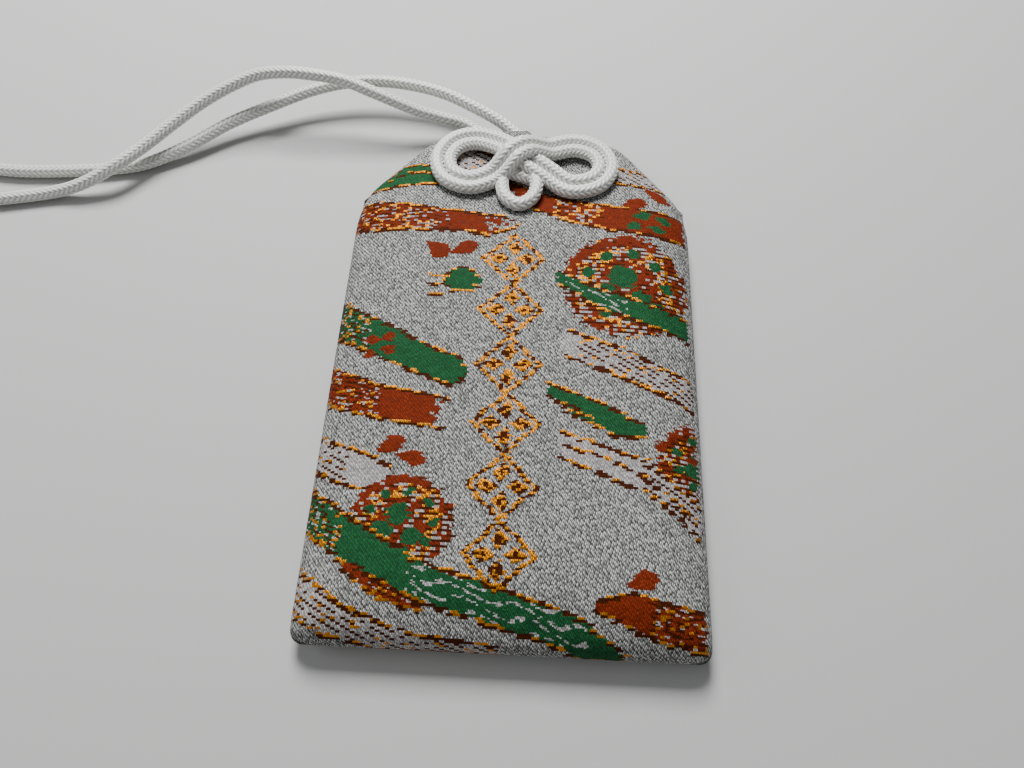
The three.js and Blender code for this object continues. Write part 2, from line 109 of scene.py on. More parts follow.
def smooth_route(points: Sequence[Point3], spacing: float) -> np.ndarray:
    """Lay a smooth curve through points and space points evenly along it.

    Args:
        points: The places that the curve passes through.
        spacing: The distance between the points of the result.

    Returns:
        The evenly spaced points, one row each.
    """
    knots = np.array(points, float)
    before = 2.0 * knots[0] - knots[1]
    after = 2.0 * knots[-1] - knots[-2]
    ring = np.vstack([before, knots, after])
    steps = np.sqrt(np.linalg.norm(np.diff(ring, axis=0), axis=1))
    dense = []
    for k in range(1, len(ring) - 2):
        p0, p1, p2, p3 = ring[k - 1 : k + 3]
        d0, d1, d2 = steps[k - 1 : k + 2]
        m1 = (p2 - p1) + d1 * ((p1 - p0) / d0 - (p2 - p0) / (d0 + d1))
        m2 = (p2 - p1) + d1 * ((p3 - p2) / d2 - (p3 - p1) / (d1 + d2))
        t = np.linspace(0.0, 1.0, ROUTE_STEPS, endpoint=False)[:, None]
        dense.append(
            (2 * t**3 - 3 * t**2 + 1) * p1
            + (t**3 - 2 * t**2 + t) * m1
            + (-2 * t**3 + 3 * t**2) * p2
            + (t**3 - t**2) * m2
        )
    dense.append(knots[-1:])
    line = np.vstack(dense)
    along = np.concatenate([[0.0], np.cumsum(np.linalg.norm(np.diff(line, axis=0), axis=1))])
    count = max(2, int(round(along[-1] / spacing)) + 1)
    places = np.linspace(0.0, along[-1], count)
    return np.stack([np.interp(places, along, line[:, axis]) for axis in range(3)], axis=1)


def route_length(line: np.ndarray) -> float:
    """Measure a line of points."""
    return float(np.linalg.norm(np.diff(line, axis=0), axis=1).sum())


def mesh_piece(name: str, points: np.ndarray, faces: list[list[int]], smooth: bool = True) -> bpy.types.Object:
    """Make a mesh object in the scene.

    Args:
        name: The piece's name.
        points: Its points in millimetres, one row each.
        faces: The point numbers of each face.
        smooth: Whether its faces are shaded smoothly.

    Returns:
        The new object.
    """
    mesh = bpy.data.meshes.new(name)
    mesh.from_pydata((points * MM).tolist(), [], faces)
    mesh.polygons.foreach_set("use_smooth", np.full(len(mesh.polygons), smooth))
    mesh.update()
    piece = bpy.data.objects.new(name, mesh)
    bpy.context.scene.collection.objects.link(piece)
    return piece


class NodeSketch:
    """A small helper that lays out the nodes of one material."""

    def __init__(self, name: str) -> None:
        """Start a material with a shader and an output.

        Args:
            name: The material's name.
        """
        self.material = bpy.data.materials.new(name)
        self.material.use_nodes = True
        self.tree = self.material.node_tree
        self.shader = self.tree.nodes["Principled BSDF"]

    def add(self, kind: str, **settings: object) -> bpy.types.Node:
        """Add a node and set its properties.

        Args:
            kind: The node's type.
            settings: Property values by name.

        Returns:
            The new node.
        """
        node = self.tree.nodes.new(kind)
        for key, value in settings.items():
            setattr(node, key, value)
        return node

    def join(self, source: bpy.types.NodeSocket, target: bpy.types.NodeSocket) -> None:
        """Link two sockets."""
        self.tree.links.new(source, target)

    def feed(self, socket: bpy.types.NodeSocket, value: object) -> None:
        """Link a socket or set its value, whichever value is."""
        if isinstance(value, bpy.types.NodeSocket):
            self.join(value, socket)
        else:
            socket.default_value = value

    def maths(self, operation: str, *values: object) -> bpy.types.NodeSocket:
        """Add a maths node.

        Args:
            operation: The node's operation.
            values: A socket or a number for each input.

        Returns:
            The node's result.
        """
        node = self.add("ShaderNodeMath", operation=operation)
        for socket, value in zip(node.inputs, values):
            self.feed(socket, value)
        return node.outputs[0]

    def blend(self, factor: object, first: object, second: object, kind: str = "MIX") -> bpy.types.NodeSocket:
        """Mix two colours.

        Args:
            factor: A socket or a number from 0 to 1.
            first: The colour at 0.
            second: The colour at 1.
            kind: The way of mixing.

        Returns:
            The mixed colour.
        """
        node = self.add("ShaderNodeMix", data_type="RGBA", blend_type=kind)
        self.feed(node.inputs["Factor"], factor)
        self.feed(node.inputs[6], first)
        self.feed(node.inputs[7], second)
        return node.outputs[2]

    def noise(self, scale: float, detail: float = 2.0) -> bpy.types.NodeSocket:
        """Add a noise texture in object space.

        Args:
            scale: Its spots in a metre.
            detail: How fine it goes.

        Returns:
            Its value.
        """
        place = self.add("ShaderNodeTexCoord")
        node = self.add("ShaderNodeTexNoise")
        self.join(place.outputs["Object"], node.inputs["Vector"])
        node.inputs["Scale"].default_value = scale
        node.inputs["Detail"].default_value = detail
        return node.outputs["Fac"]

    def bump(self, height: bpy.types.NodeSocket, strength: float, distance: float) -> None:
        """Roughen the shader's surface.

        Args:
            height: The relief.
            strength: Its share, from 0 to 1.
            distance: The relief's depth in metres.
        """
        node = self.add("ShaderNodeBump")
        node.inputs["Strength"].default_value = strength
        node.inputs["Distance"].default_value = distance
        self.join(height, node.inputs["Height"])
        self.join(node.outputs["Normal"], self.shader.inputs["Normal"])

    def set(self, **values: object) -> None:
        """Set constant values on the shader's own sockets, by their names with _ for a space."""
        for key, value in values.items():
            self.shader.inputs[key.replace("_", " ")].default_value = value


def rgba(colour: Colour) -> tuple[float, float, float, float]:
    """Add full cover to a colour."""
    return (*colour, 1.0)


@dataclass(frozen=True)
class PlainFinish:
    """A matt finish with a faint mottle: paper, card, thread and lining."""

    name: str
    light: Colour
    dark: Colour
    roughness: float
    grain: float
    relief: float
    detail: float = 4.0
    bump: float = 0.4

    def material(self) -> bpy.types.Material:
        """Make the finish's material."""
        sketch = NodeSketch(self.name)
        mottle = sketch.noise(self.grain, self.detail)
        colour = sketch.blend(mottle, rgba(self.dark), rgba(self.light))
        sketch.join(colour, sketch.shader.inputs["Base Color"])
        sketch.bump(mottle, self.bump, self.relief * MM)
        sketch.set(Roughness=self.roughness)
        return sketch.material


@dataclass(frozen=True)
class WoodFinish:
    """Pale bare wood with its grain along the slip."""

    name: str = "slip_wood"
    light: Colour = (0.74, 0.55, 0.33)
    dark: Colour = (0.55, 0.36, 0.19)
    roughness: float = 0.62
    bands: float = 420.0
    waviness: float = 2.5
    detail: float = 3.0

    def material(self) -> bpy.types.Material:
        """Make the finish's material."""
        sketch = NodeSketch(self.name)
        place = sketch.add("ShaderNodeTexCoord")
        wave = sketch.add("ShaderNodeTexWave", wave_type="BANDS", bands_direction="X")
        sketch.join(place.outputs["Object"], wave.inputs["Vector"])
        wave.inputs["Scale"].default_value = self.bands
        wave.inputs["Distortion"].default_value = self.waviness
        wave.inputs["Detail"].default_value = self.detail
        colour = sketch.blend(wave.outputs["Fac"], rgba(self.light), rgba(self.dark))
        sketch.join(colour, sketch.shader.inputs["Base Color"])
        sketch.set(Roughness=self.roughness)
        return sketch.material


@dataclass(frozen=True)
class CordFinish:
    """White braided cord of glossy fibre, with painted shade in the hollows between its strands."""

    name: str = "white_cord"
    light: Colour = (0.80, 0.797, 0.755)
    hollow_shade: Colour = (0.28, 0.28, 0.265)
    roughness: float = 0.38
    sheen: float = 0.15
    fibre: float = 9000.0
    bump: float = 0.25
    relief: float = 0.03

    def material(self) -> bpy.types.Material:
        """Make the finish's material, with painted shade in the hollows between the braid's strands."""
        sketch = NodeSketch(self.name)
        relief = sketch.add("ShaderNodeAttribute", attribute_name="braid")
        colour = sketch.blend(relief.outputs["Fac"], rgba(self.hollow_shade), rgba(self.light))
        sketch.join(colour, sketch.shader.inputs["Base Color"])
        sketch.bump(sketch.noise(self.fibre), self.bump, self.relief * MM)
        sketch.set(Roughness=self.roughness, Sheen_Weight=self.sheen)
        return sketch.material


@dataclass(frozen=True)
class BrocadeFinish:
    """Satin brocade: the yarns' own colours, with the floats of the weave as fine seeds, painted shade in the
    gaps between them and painted sheen on them.

    The seeds stand on a slanting, staggered lattice, scattered a little. Fullness sets how fast
    each falls off into painted shade, and the two values after it how bright its painted sheen may be.
    """

    name: str = "brocade"
    roughness: float = 0.56
    gold_roughness: float = 0.36
    gloss: float = 0.03
    seed_width: float = 0.22
    seed_height: float = 0.38
    slant: float = -0.6
    stagger: float = 0.45
    scatter: float = 0.42
    fullness: float = 1.7
    sheen_lively: float = 1.0
    even: float = 0.3
    relief: float = 0.07
    bump: float = 0.9

    def material(self) -> bpy.types.Material:
        """Make the finish's material from the cloth's yarn colours and thread places, with painted shade
        between the floats and painted sheen on them.
        """
        sketch = NodeSketch(self.name)
        yarn = sketch.add("ShaderNodeAttribute", attribute_name="yarn_colour")
        depth = sketch.add("ShaderNodeAttribute", attribute_name="seed_shade_depth")
        height = self._seeds(sketch)
        # painted shade: the yarn's colour darkens in the gaps between the floats, as deep as each yarn's shade
        # depth
        gap = sketch.maths("MULTIPLY", sketch.maths("SUBTRACT", 1.0, height), depth.outputs["Fac"])
        shade = sketch.maths("SUBTRACT", 1.0, gap)
        tint = sketch.add("ShaderNodeCombineColor")
        for socket in tint.inputs[:3]:
            sketch.join(shade, socket)
        colour = sketch.blend(1.0, yarn.outputs["Color"], tint.outputs["Color"], "MULTIPLY")
        sketch.join(colour, sketch.shader.inputs["Base Color"])
        gold = yarn.outputs["Alpha"]
        sketch.join(gold, sketch.shader.inputs["Metallic"])
        span = self.gold_roughness - self.roughness
        rough = sketch.maths("MULTIPLY_ADD", gold, span, self.roughness)
        sketch.join(rough, sketch.shader.inputs["Roughness"])
        sketch.bump(height, self.bump, self.relief * MM)
        sketch.set(Specular_IOR_Level=self.gloss)
        return sketch.material

    def _seeds(self, sketch: NodeSketch) -> bpy.types.NodeSocket:
        """Draw the weave's scattered floats, each with its own painted sheen.

        Args:
            sketch: The material's nodes.

        Returns:
            The relief of the floats, from 0 in the gaps to 1 on the brightest ones. It sets the bump, the
            painted shade in the gaps and the painted sheen on the floats.
        """
        place = sketch.add("ShaderNodeUVMap", uv_map="threads")
        axes = sketch.add("ShaderNodeSeparateXYZ")
        sketch.join(place.outputs["UV"], axes.inputs[0])
        high = sketch.maths("MULTIPLY", axes.outputs["Y"], 1.0 / self.seed_height)
        wide = sketch.maths("MULTIPLY", axes.outputs["X"], 1.0 / self.seed_width)
        lean = sketch.maths("MULTIPLY_ADD", high, self.slant, wide)
        cell = sketch.add("ShaderNodeCombineXYZ")
        sketch.join(lean, cell.inputs[0])
        sketch.join(sketch.maths("MULTIPLY_ADD", lean, self.stagger, high), cell.inputs[1])
        grain = sketch.add("ShaderNodeTexVoronoi", voronoi_dimensions="2D")
        grain.inputs["Scale"].default_value = 1.0
        grain.inputs["Randomness"].default_value = self.scatter
        sketch.join(cell.outputs[0], grain.inputs["Vector"])
        slope = sketch.maths("MULTIPLY", grain.outputs["Distance"], self.fullness)
        round_top = sketch.maths("SUBTRACT", 1.0, slope)
        luck = sketch.add("ShaderNodeSeparateColor")
        sketch.join(grain.outputs["Color"], luck.inputs[0])
        sheen_lively = sketch.maths("MULTIPLY_ADD", luck.outputs[0], self.sheen_lively, self.even)
        return sketch.maths("MULTIPLY", sketch.maths("MAXIMUM", round_top, 0.0), sheen_lively)


@dataclass(frozen=True)
class Braid:
    """The build of a round braided cord. A low fullness gives narrow gaps between full strands."""

    diameter: float = 1.8
    columns: int = 8
    pitch: float = 0.78
    lean: float = 1.1
    groove: float = 0.06
    fullness: float = 0.45
    relief: float = 0.15
    spacing: float = 0.125
    sides: int = 48


class BraidedCord:
    """One length of braided cord that follows a line."""

    end_share = 0.02

    def __init__(self, line: np.ndarray, braid: Braid) -> None:
        """Prepare the cord's cross-sections.

        Args:
            line: Evenly spaced points in millimetres.
            braid: The cord's build.
        """
        self.line = line
        self.braid = braid
        steps = np.diff(line, axis=0)
        tangents = np.vstack([steps[:1], steps[:-1] + steps[1:], steps[-1:]])
        self.tangents = tangents / np.linalg.norm(tangents, axis=1)[:, None]
        self.along = np.concatenate([[0.0], np.cumsum(np.linalg.norm(steps, axis=1))])
        self.normals = self._carry_normals()
        self.sides = np.cross(self.tangents, self.normals)

    def _carry_normals(self) -> np.ndarray:
        """Carry one normal along the line without twist, starting from the one nearest to up."""
        normals = np.zeros_like(self.tangents)
        current = np.array([0.0, 0.0, 1.0])
        for k, tangent in enumerate(self.tangents):
            current = current - tangent * float(np.dot(current, tangent))
            current = current / np.linalg.norm(current)
            normals[k] = current
        return normals

    def relief(self) -> tuple[np.ndarray, np.ndarray]:
        """Work out the braid's relief.

        Returns:
            The angle of each side and the height of each point from 0 to 1, one row per section.
        """
        b = self.braid
        angles = np.arange(b.sides) * (2.0 * math.pi / b.sides)
        share = np.arange(b.sides) * (b.columns / b.sides)
        column = np.floor(share)
        inside = share - column
        lean = np.where(column % 2 == 0, inside, 1.0 - inside)
        phase = self.along[:, None] / b.pitch + b.lean * lean[None, :]
        strand = 0.5 - 0.5 * np.cos(2.0 * math.pi * phase)
        ridge = np.sin(math.pi * np.clip(inside, b.groove, 1.0 - b.groove)) ** b.fullness
        return angles, strand**b.fullness * ridge[None, :]

    def piece(self, name: str, start: int = 0, stop: int | None = None) -> bpy.types.Object:
        """Make the mesh of the cord, or of a stretch of it.

        Args:
            name: The piece's name.
            start: The first section of the stretch.
            stop: The section after its last, or None for the rest.

        Returns:
            The cord as an object. A whole cord is closed at both ends.
        """
        b = self.braid
        angles, height = self.relief()
        radius = b.diameter / 2.0 * (1.0 - b.relief + b.relief * height)
        ring = (
            self.normals[:, None, :] * np.cos(angles)[None, :, None]
            + self.sides[:, None, :] * np.sin(angles)[None, :, None]
        )
        if stop is None:
            radius[[0, -1]] *= self.end_share
        points = (self.line[:, None, :] + ring * radius[:, :, None])[start:stop]
        height = height[start:stop]
        count = len(points)
        first = np.arange(count - 1)[:, None] * b.sides + np.arange(b.sides)[None, :]
        after = np.arange(count - 1)[:, None] * b.sides + (np.arange(b.sides)[None, :] + 1) % b.sides
        quads = np.stack([first, after, after + b.sides, first + b.sides], axis=2).reshape(-1, 4)
        piece = mesh_piece(name, points.reshape(-1, 3), quads.tolist())
        # the braid's height also sets the finish's painted shade in the hollows between strands
        tone = piece.data.attributes.new("braid", "FLOAT", "POINT")
        tone.data.foreach_set("value", height.reshape(-1).astype(np.float32))
        return piece


def joined(name: str, parts: Sequence[bpy.types.Object]) -> bpy.types.Object:
    """Join meshes into the first one.

    Args:
        name: The name of the result.
        parts: The objects to join.

    Returns:
        The one object that is left.
    """
    with bpy.context.temp_override(
        active_object=parts[0],
        object=parts[0],
        selected_objects=list(parts),
        selected_editable_objects=list(parts),
    ):
        bpy.ops.object.join()
    parts[0].name = name
    return parts[0]


class Stretch(Enum):
    """The stretches of the bow's figure of eight."""

    LEFT_EAR = "left_ear"
    RIGHT_EAR = "right_ear"
    CROSSING = "knot_centre"


@dataclass
class BowKnot:
    """The bow on the neck: a double cord in a figure of eight, and a small loop below it."""

    braid: Braid = field(default_factory=lambda: Braid(diameter=1.9, pitch=0.74, spacing=0.11))
    pair_pitch: float = 1.78
    foot_y: float = 23.0
    foot_z: float = 6.42
    tilt: float = 0.08
    under_rise: float = 0.9
    under_side: float = 8.0
    over_rise: float = 2.05
    over_side: float = 5.2
    over_core: float = 0.6
    over_share: float = 0.48
    over_half: float = 0.06
    over_span: Point2 = (0.12, 0.22)
    crossing: Point2 = (-0.7, 28.1)
    eight: tuple[Point2, ...] = (
        (-0.7, 28.0),
        (3.1, 25.5),
        (6.3, 23.6),
        (9.6, 24.6),
        (11.0, 27.3),
        (9.9, 30.1),
        (6.9, 31.3),
        (2.9, 30.1),
        (-0.7, 28.3),
        (-3.6, 25.5),
        (-7.2, 23.6),
        (-10.3, 24.9),
        (-11.2, 28.0),
        (-9.7, 30.9),
        (-7.0, 31.9),
        (-4.2, 30.9),
        (-0.7, 28.0),
    )
    drop: tuple[Point3, ...] = (
        (-1.6, 28.6, 6.5),
        (-2.5, 26.6, 6.2),
        (-2.95, 23.8, 6.35),
        (-2.4, 21.3, 6.5),
        (-0.65, 20.15, 6.5),
        (1.05, 21.2, 6.5),
        (1.7, 23.1, 6.5),
        (1.4, 24.9, 6.4),
        (0.6, 26.6, 6.1),
        (-0.6, 28.2, 5.8),
    )
    tie: tuple[Point3, ...] = (
        (-3.4, 26.1, 6.1),
        (-1.8, 25.6, 6.2),
        (-0.5, 25.3, 6.1),
        (0.9, 25.0, 5.8),
        (2.6, 24.4, 5.4),
    )

    def height(self, line: np.ndarray, over: np.ndarray) -> np.ndarray:
        """Give the cord's height along the figure of eight.

        Args:
            line: Points of the flat figure.
            over: Where the cord crosses over itself, from 0 to 1.

        Returns:
            The height of each point in millimetres.
        """
        rest = self.foot_z - self.tilt * (line[:, 1] - self.foot_y)
        away = np.hypot(line[:, 0] - self.crossing[0], line[:, 1] - self.crossing[1])
        upper = self.over_rise * (1.0 - ease(away, self.over_core, self.over_side))
        lower = self.under_rise * (1.0 - ease(away, self.over_core, self.under_side))
        return rest + over * upper + (1.0 - over) * lower

    def strands(self) -> list[BraidedCord]:
        """Lay the two cords of the figure of eight side by side."""
        flat = smooth_route([(x, y, 0.0) for x, y in self.eight], self.braid.spacing)
        steps = np.gradient(flat, axis=0)
        across = np.stack([-steps[:, 1], steps[:, 0], np.zeros(len(flat))], axis=1)
        across /= np.linalg.norm(across, axis=1)[:, None]
        share = np.linspace(0.0, 1.0, len(flat))
        over = 1.0 - ease(np.abs(share - self.over_share), *self.over_span)
        cords = []
        for side in (-0.5, 0.5):
            line = flat + across * (side * self.pair_pitch)
            line[:, 2] = self.height(flat, over)
            cords.append(BraidedCord(line, self.braid))
        return cords

    def build(self) -> dict[str, bpy.types.Object]:
        """Make the bow's pieces.

        Returns:
            Each piece by the name of the CAD node that it stands for.
        """
        cuts = {
            Stretch.RIGHT_EAR: (0.0, self.over_share - self.over_half),
            Stretch.CROSSING: (self.over_share - self.over_half, self.over_share + self.over_half),
            Stretch.LEFT_EAR: (self.over_share + self.over_half, 1.0),
        }
        cords = self.strands()
        pieces = {}
        for stretch, (low, high) in cuts.items():
            parts = []
            for cord in cords:
                last = len(cord.line) - 1
                stop = int(round(high * last)) + 1
                parts.append(cord.piece(f"{stretch.value}_part", int(round(low * last)), stop))
            if stretch is Stretch.CROSSING:
                tie = smooth_route(self.tie, self.braid.spacing)
                parts.append(BraidedCord(tie, self.braid).piece("tie_part"))
            pieces[stretch.value] = joined(f"{stretch.value}_cord", parts)
        drop = smooth_route(self.drop, self.braid.spacing)
        pieces["drop_loop"] = BraidedCord(drop, self.braid).piece("drop_loop_cord")
        return pieces

    def dress(self, material: bpy.types.Material) -> None:
        """Build the bow and set it on the pouch.

        Args:
            material: The cord's finish.
        """
        for node, piece in self.build().items():
            piece.data.materials.append(material)
            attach(piece, "bag")
            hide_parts(node)
            LOG.info("bow: %s", piece.name)


@dataclass
class Strap:
    """The strap loop, and the two leads that carry it through the neck to the knot."""

    braid: Braid = field(default_factory=Braid)
    mouth_y: float = 36.0
    seam_z: float = 2.25
    exits: tuple[float, float] = (-6.5, -0.9)
    leans: tuple[float, float] = (53.0, 57.0)
    knot: Point2 = (-0.6, 28.0)
    eyelet_spacing: float = 3.0
    lead_top: float = 5.2
    exit_run: float = 3.5
    end_gap: float = 0.3
    lead_overrun: float = 0.5
    bend_reach: float = 7.0
    lead_points: int = 12
    path_stride: int = 8
    route: tuple[Point3, ...] = (
        (-9.3, 37.6, 2.6),
        (-12.5, 38.0, 3.2),
        (-15.6, 38.2, 4.0),
        (-18.5, 38.6, 5.0),
        (-22.4, 39.4, 6.2),
        (-26.6, 40.4, 7.2),
        (-30.5, 40.7, 7.7),
        (-34.7, 40.9, 7.8),
        (-39.0, 40.8, 7.2),
        (-43.0, 39.3, 6.3),
        (-47.1, 36.9, 5.2),
        (-50.9, 33.6, 4.2),
        (-54.5, 29.8, 3.5),
        (-57.8, 26.4, 3.2),
        (-62.0, 24.2, 2.0),
        (-66.1, 23.2, 1.1),
        (-73.6, 21.6, 0.95),
        (-81.0, 20.4, 0.95),
        (-88.0, 19.8, 0.95),
        (-93.5, 21.0, 0.95),
        (-95.6, 24.4, 0.95),
        (-93.2, 27.7, 0.95),
        (-88.0, 28.6, 0.95),
        (-81.0, 27.5, 0.95),
        (-73.4, 26.7, 0.95),
        (-66.2, 27.0, 0.95),
        (-60.2, 27.7, 0.95),
        (-55.2, 28.9, 0.95),
        (-49.6, 31.9, 1.5),
        (-43.7, 36.1, 2.3),
        (-37.6, 39.4, 3.0),
        (-31.6, 42.1, 3.7),
        (-25.4, 43.6, 4.1),
        (-19.2, 43.6, 4.1),
        (-13.0, 42.4, 3.8),
        (-8.4, 40.5, 3.3),
        (-3.9, 38.2, 2.6),
    )

    def exit_point(self, strand: int, reach: float) -> Point3:
        """Give a point on a strand's straight run through the mouth.

        Args:
            strand: 0 for the left strand, 1 for the right one.
            reach: Its distance outside the mouth.

        Returns:
            The point in millimetres.
        """
        lean = math.radians(self.leans[strand])
        x = self.exits[strand] - reach * math.sin(lean)
        return (x, self.mouth_y + reach * math.cos(lean), self.seam_z)

    def strap_line(self) -> np.ndarray:
        """Lay the strap from the left exit round the bight to the right exit."""
        run = self.end_gap + self.braid.diameter / 2.0
        points = [self.exit_point(0, self.end_gap), self.exit_point(0, run), *self.route]
        points += [self.exit_point(1, run), self.exit_point(1, self.end_gap)]
        return smooth_route(points, self.braid.spacing)

    def lead_line(self, strand: int) -> np.ndarray:
        """Lay a lead from just outside the mouth to its eyelet.

        Args:
            strand: 0 for the left lead, 1 for the right one.

        Returns:
            Evenly spaced points in millimetres.
        """
        side = -1.0 if strand == 0 else 1.0
        eyelet = self.knot[0] + side * self.eyelet_spacing / 2.0
        corners = np.array(
            [
                self.exit_point(strand, 0.0),
                self.exit_point(strand, -self.exit_run),
                (eyelet, self.knot[1], self.seam_z),
                (eyelet, self.knot[1], self.lead_top),
            ]
        )
        t = np.linspace(0.0, 1.0, self.lead_points)[:, None]
        bend = (
            (1 - t) ** 3 * corners[0]
            + 3 * (1 - t) ** 2 * t * corners[1]
            + 3 * (1 - t) * t**2 * corners[2]
            + t**3 * corners[3]
        )
        outside = np.array([self.exit_point(strand, self.lead_overrun)])
        return smooth_route(np.vstack([outside, bend]).tolist(), self.braid.spacing)

    def dress(self, material: bpy.types.Material) -> None:
        """Build the strap and the leads.

        Args:
            material: The cord's finish.
        """
        for strand, node in enumerate(("left_lead", "right_lead")):
            lead = BraidedCord(self.lead_line(strand), self.braid).piece(f"{node}_cord")
            lead.data.materials.append(material)
            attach(lead, "bag")
            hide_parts(node)
            LOG.info("neck: %s", lead.name)
        line = self.strap_line()
        strap = BraidedCord(line, self.braid).piece("strap_loop_cord")
        strap.data.materials.append(material)
        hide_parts("strap_loop")
        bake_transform(strap)
        LOG.info("strap: %.1f mm long", route_length(line))


class Yarn(Enum):
    """The brocade's yarns: number, colour, share of metal, height over the ground and depth of the painted
    shade between floats.
    """

    GROUND = (0, (0.635, 0.635, 0.612), 0.0, 0.0, 0.95)
    WHITE = (1, (0.58, 0.56, 0.55), 0.0, 0.05, 0.75)
    ORANGE = (2, (0.215, 0.0280, 0.008), 0.0, 0.08, 0.60)
    GREEN = (3, (0.016, 0.105, 0.038), 0.0, 0.08, 0.60)
    GOLD = (4, (0.69, 0.255, 0.012), 0.7, 0.12, 0.6)
    BROWN = (5, (0.056, 0.012, 0.003), 0.2, 0.03, 0.40)

    @property
    def number(self) -> int:
        """The yarn's number on the canvas."""
        return self.value[0]


class Canvas:
    """The cloth seen as a field of thread cells, which motifs are woven into."""

    row_pitch = 0.29
    column_pitch = 0.26
    ragged = 0.6

    def __init__(self, x: np.ndarray, y: np.ndarray, cell: Point2) -> None:
        """Start with bare ground.

        Args:
            x: The middle of each cell across the pouch seen from above, in millimetres.
            y: The middle of each cell along it.
            cell: The size of a cell on the cloth.
        """
        self.tiers = (np.arange(x.shape[0]) + 0.5) * cell[1] / self.row_pitch
        self.tier_y = y[:, x.shape[1] // 2]
        across = (np.arange(x.shape[1]) + 0.5) * cell[0] / self.column_pitch
        self.column, self.row = np.meshgrid(np.floor(across), np.floor(self.tiers))
        self.x = x + self.ragged * (speckle(self.row, self.row * 0.0, 1.0) - 0.5)
        self.y = y
        self.yarn = np.zeros(x.shape, int)

    def weave(self, where: np.ndarray, yarn: Yarn) -> None:
        """Weave a yarn into some cells."""
        self.yarn[where] = yarn.number

    def level(self, line: Sequence[Point2]) -> np.ndarray:
        """Give the height of a line of points at each cell."""
        xs, ys = zip(*line)
        return np.interp(self.x, xs, ys)

    def tier(self, height: np.ndarray) -> np.ndarray:
        """Give the row of threads at a height."""
        return np.floor(np.interp(height, self.tier_y, self.tiers))

    def luck(self, seed: float) -> np.ndarray:
        """Give each float of two threads a steady value from 0 to 1."""
        return speckle(np.floor(self.column / 2.0), self.row, seed)


class Motif(Protocol):
    """Anything that can be woven into the cloth."""

    def paint(self, canvas: Canvas) -> None:
        """Weave the motif."""


@dataclass(frozen=True)
class Ripple:
    """Wavy lines inside a band: their distance, and how far and how fast they swing."""

    pitch: float
    swing: float
    bend: float
    drift: float = 0.0

    def crest(self, canvas: Canvas, depth: np.ndarray) -> np.ndarray:
        """Give each cell's place between two lines, from 0 to 1."""
        line = depth / self.pitch + self.swing * np.sin(canvas.x * self.bend + depth * self.drift)
        return line - np.floor(line)


@dataclass(frozen=True)
class Scales:
    """Slanting rows of floats inside a band: every so many floats one row begins."""

    turn: float = 3.0

    def crest(self, canvas: Canvas, depth: np.ndarray) -> np.ndarray:
        """Give each float's place between two rows, from 0 to 1."""
        return (np.floor(canvas.column / 2.0) + canvas.row) % self.turn / self.turn


@dataclass(frozen=True)
class Strewn:
    """A yarn strewn over a band's inside: its share of the floats between two places of the crest."""

    yarn: Yarn
    seed: float
    share: float
    crest: Point2 = (0.0, 1.0)


class Fill(Enum):
    """How the inside of a band is woven: its lines and the yarns strewn over them, in turn."""

    SOLID = (Scales(), ())
    WAVES = (Ripple(1.1, 0.4, 0.9, 1.3), (Strewn(Yarn.WHITE, 2.0, 0.7, (0.0, 0.26)),))
    STREAKS = (
        Ripple(0.62, 0.3, 1.1),
        (
            Strewn(Yarn.BROWN, 4.0, 0.6, (0.5, 1.0)),
            Strewn(Yarn.WHITE, 2.0, 0.28, (0.0, 0.36)),
            Strewn(Yarn.GOLD, 3.0, 0.12),
        ),
    )
    SCALES = (Scales(), (Strewn(Yarn.BROWN, 5.0, 0.8, (0.0, 0.1)), Strewn(Yarn.GOLD, 6.0, 0.06)))
    FLECKS = (
        Scales(),
        (Strewn(Yarn.WHITE, 2.0, 0.16), Strewn(Yarn.BROWN, 4.0, 0.16), Strewn(Yarn.GOLD, 3.0, 0.2)),
    )

    def weave(self, canvas: Canvas, filled: np.ndarray, depth: np.ndarray) -> None:
        """Weave a band's inside.

        Args:
            canvas: The cloth.
            filled: The cells of the inside.
            depth: Each cell's height over the band's lower line.
        """
        lines, strewn = self.value
        crest = lines.crest(canvas, depth)
        for rule in strewn:
            here = (crest >= rule.crest[0]) & (crest < rule.crest[1])
            canvas.weave(filled & here & (canvas.luck(rule.seed) < rule.share), rule.yarn)


@dataclass(frozen=True)
class Dashes:
    """A line of short gold floats over a dark partner thread, as the brocade's outlines are."""

    line: tuple[Point2, ...]
    step: float = 0.78
    gold: float = 0.62
    partner: float = 0.6

    def paint(self, canvas: Canvas) -> None:
        """Weave the line in steps, each of them level with one row of threads."""
        low, high = self.line[0][0], self.line[-1][0]
        xs, ys = zip(*self.line)
        beat = np.floor(canvas.x / self.step)
        level = canvas.tier(np.interp((beat + 0.5) * self.step, xs, ys))
        within = (canvas.x >= low) & (canvas.x <= high)
        on = within & (canvas.row == level)
        under = within & (canvas.row == level - 1.0) & (speckle(beat, level, 12.0) < self.partner)
        canvas.weave(on | under, Yarn.BROWN)
        canvas.weave(on & (speckle(beat, level, 10.0) < self.gold), Yarn.GOLD)


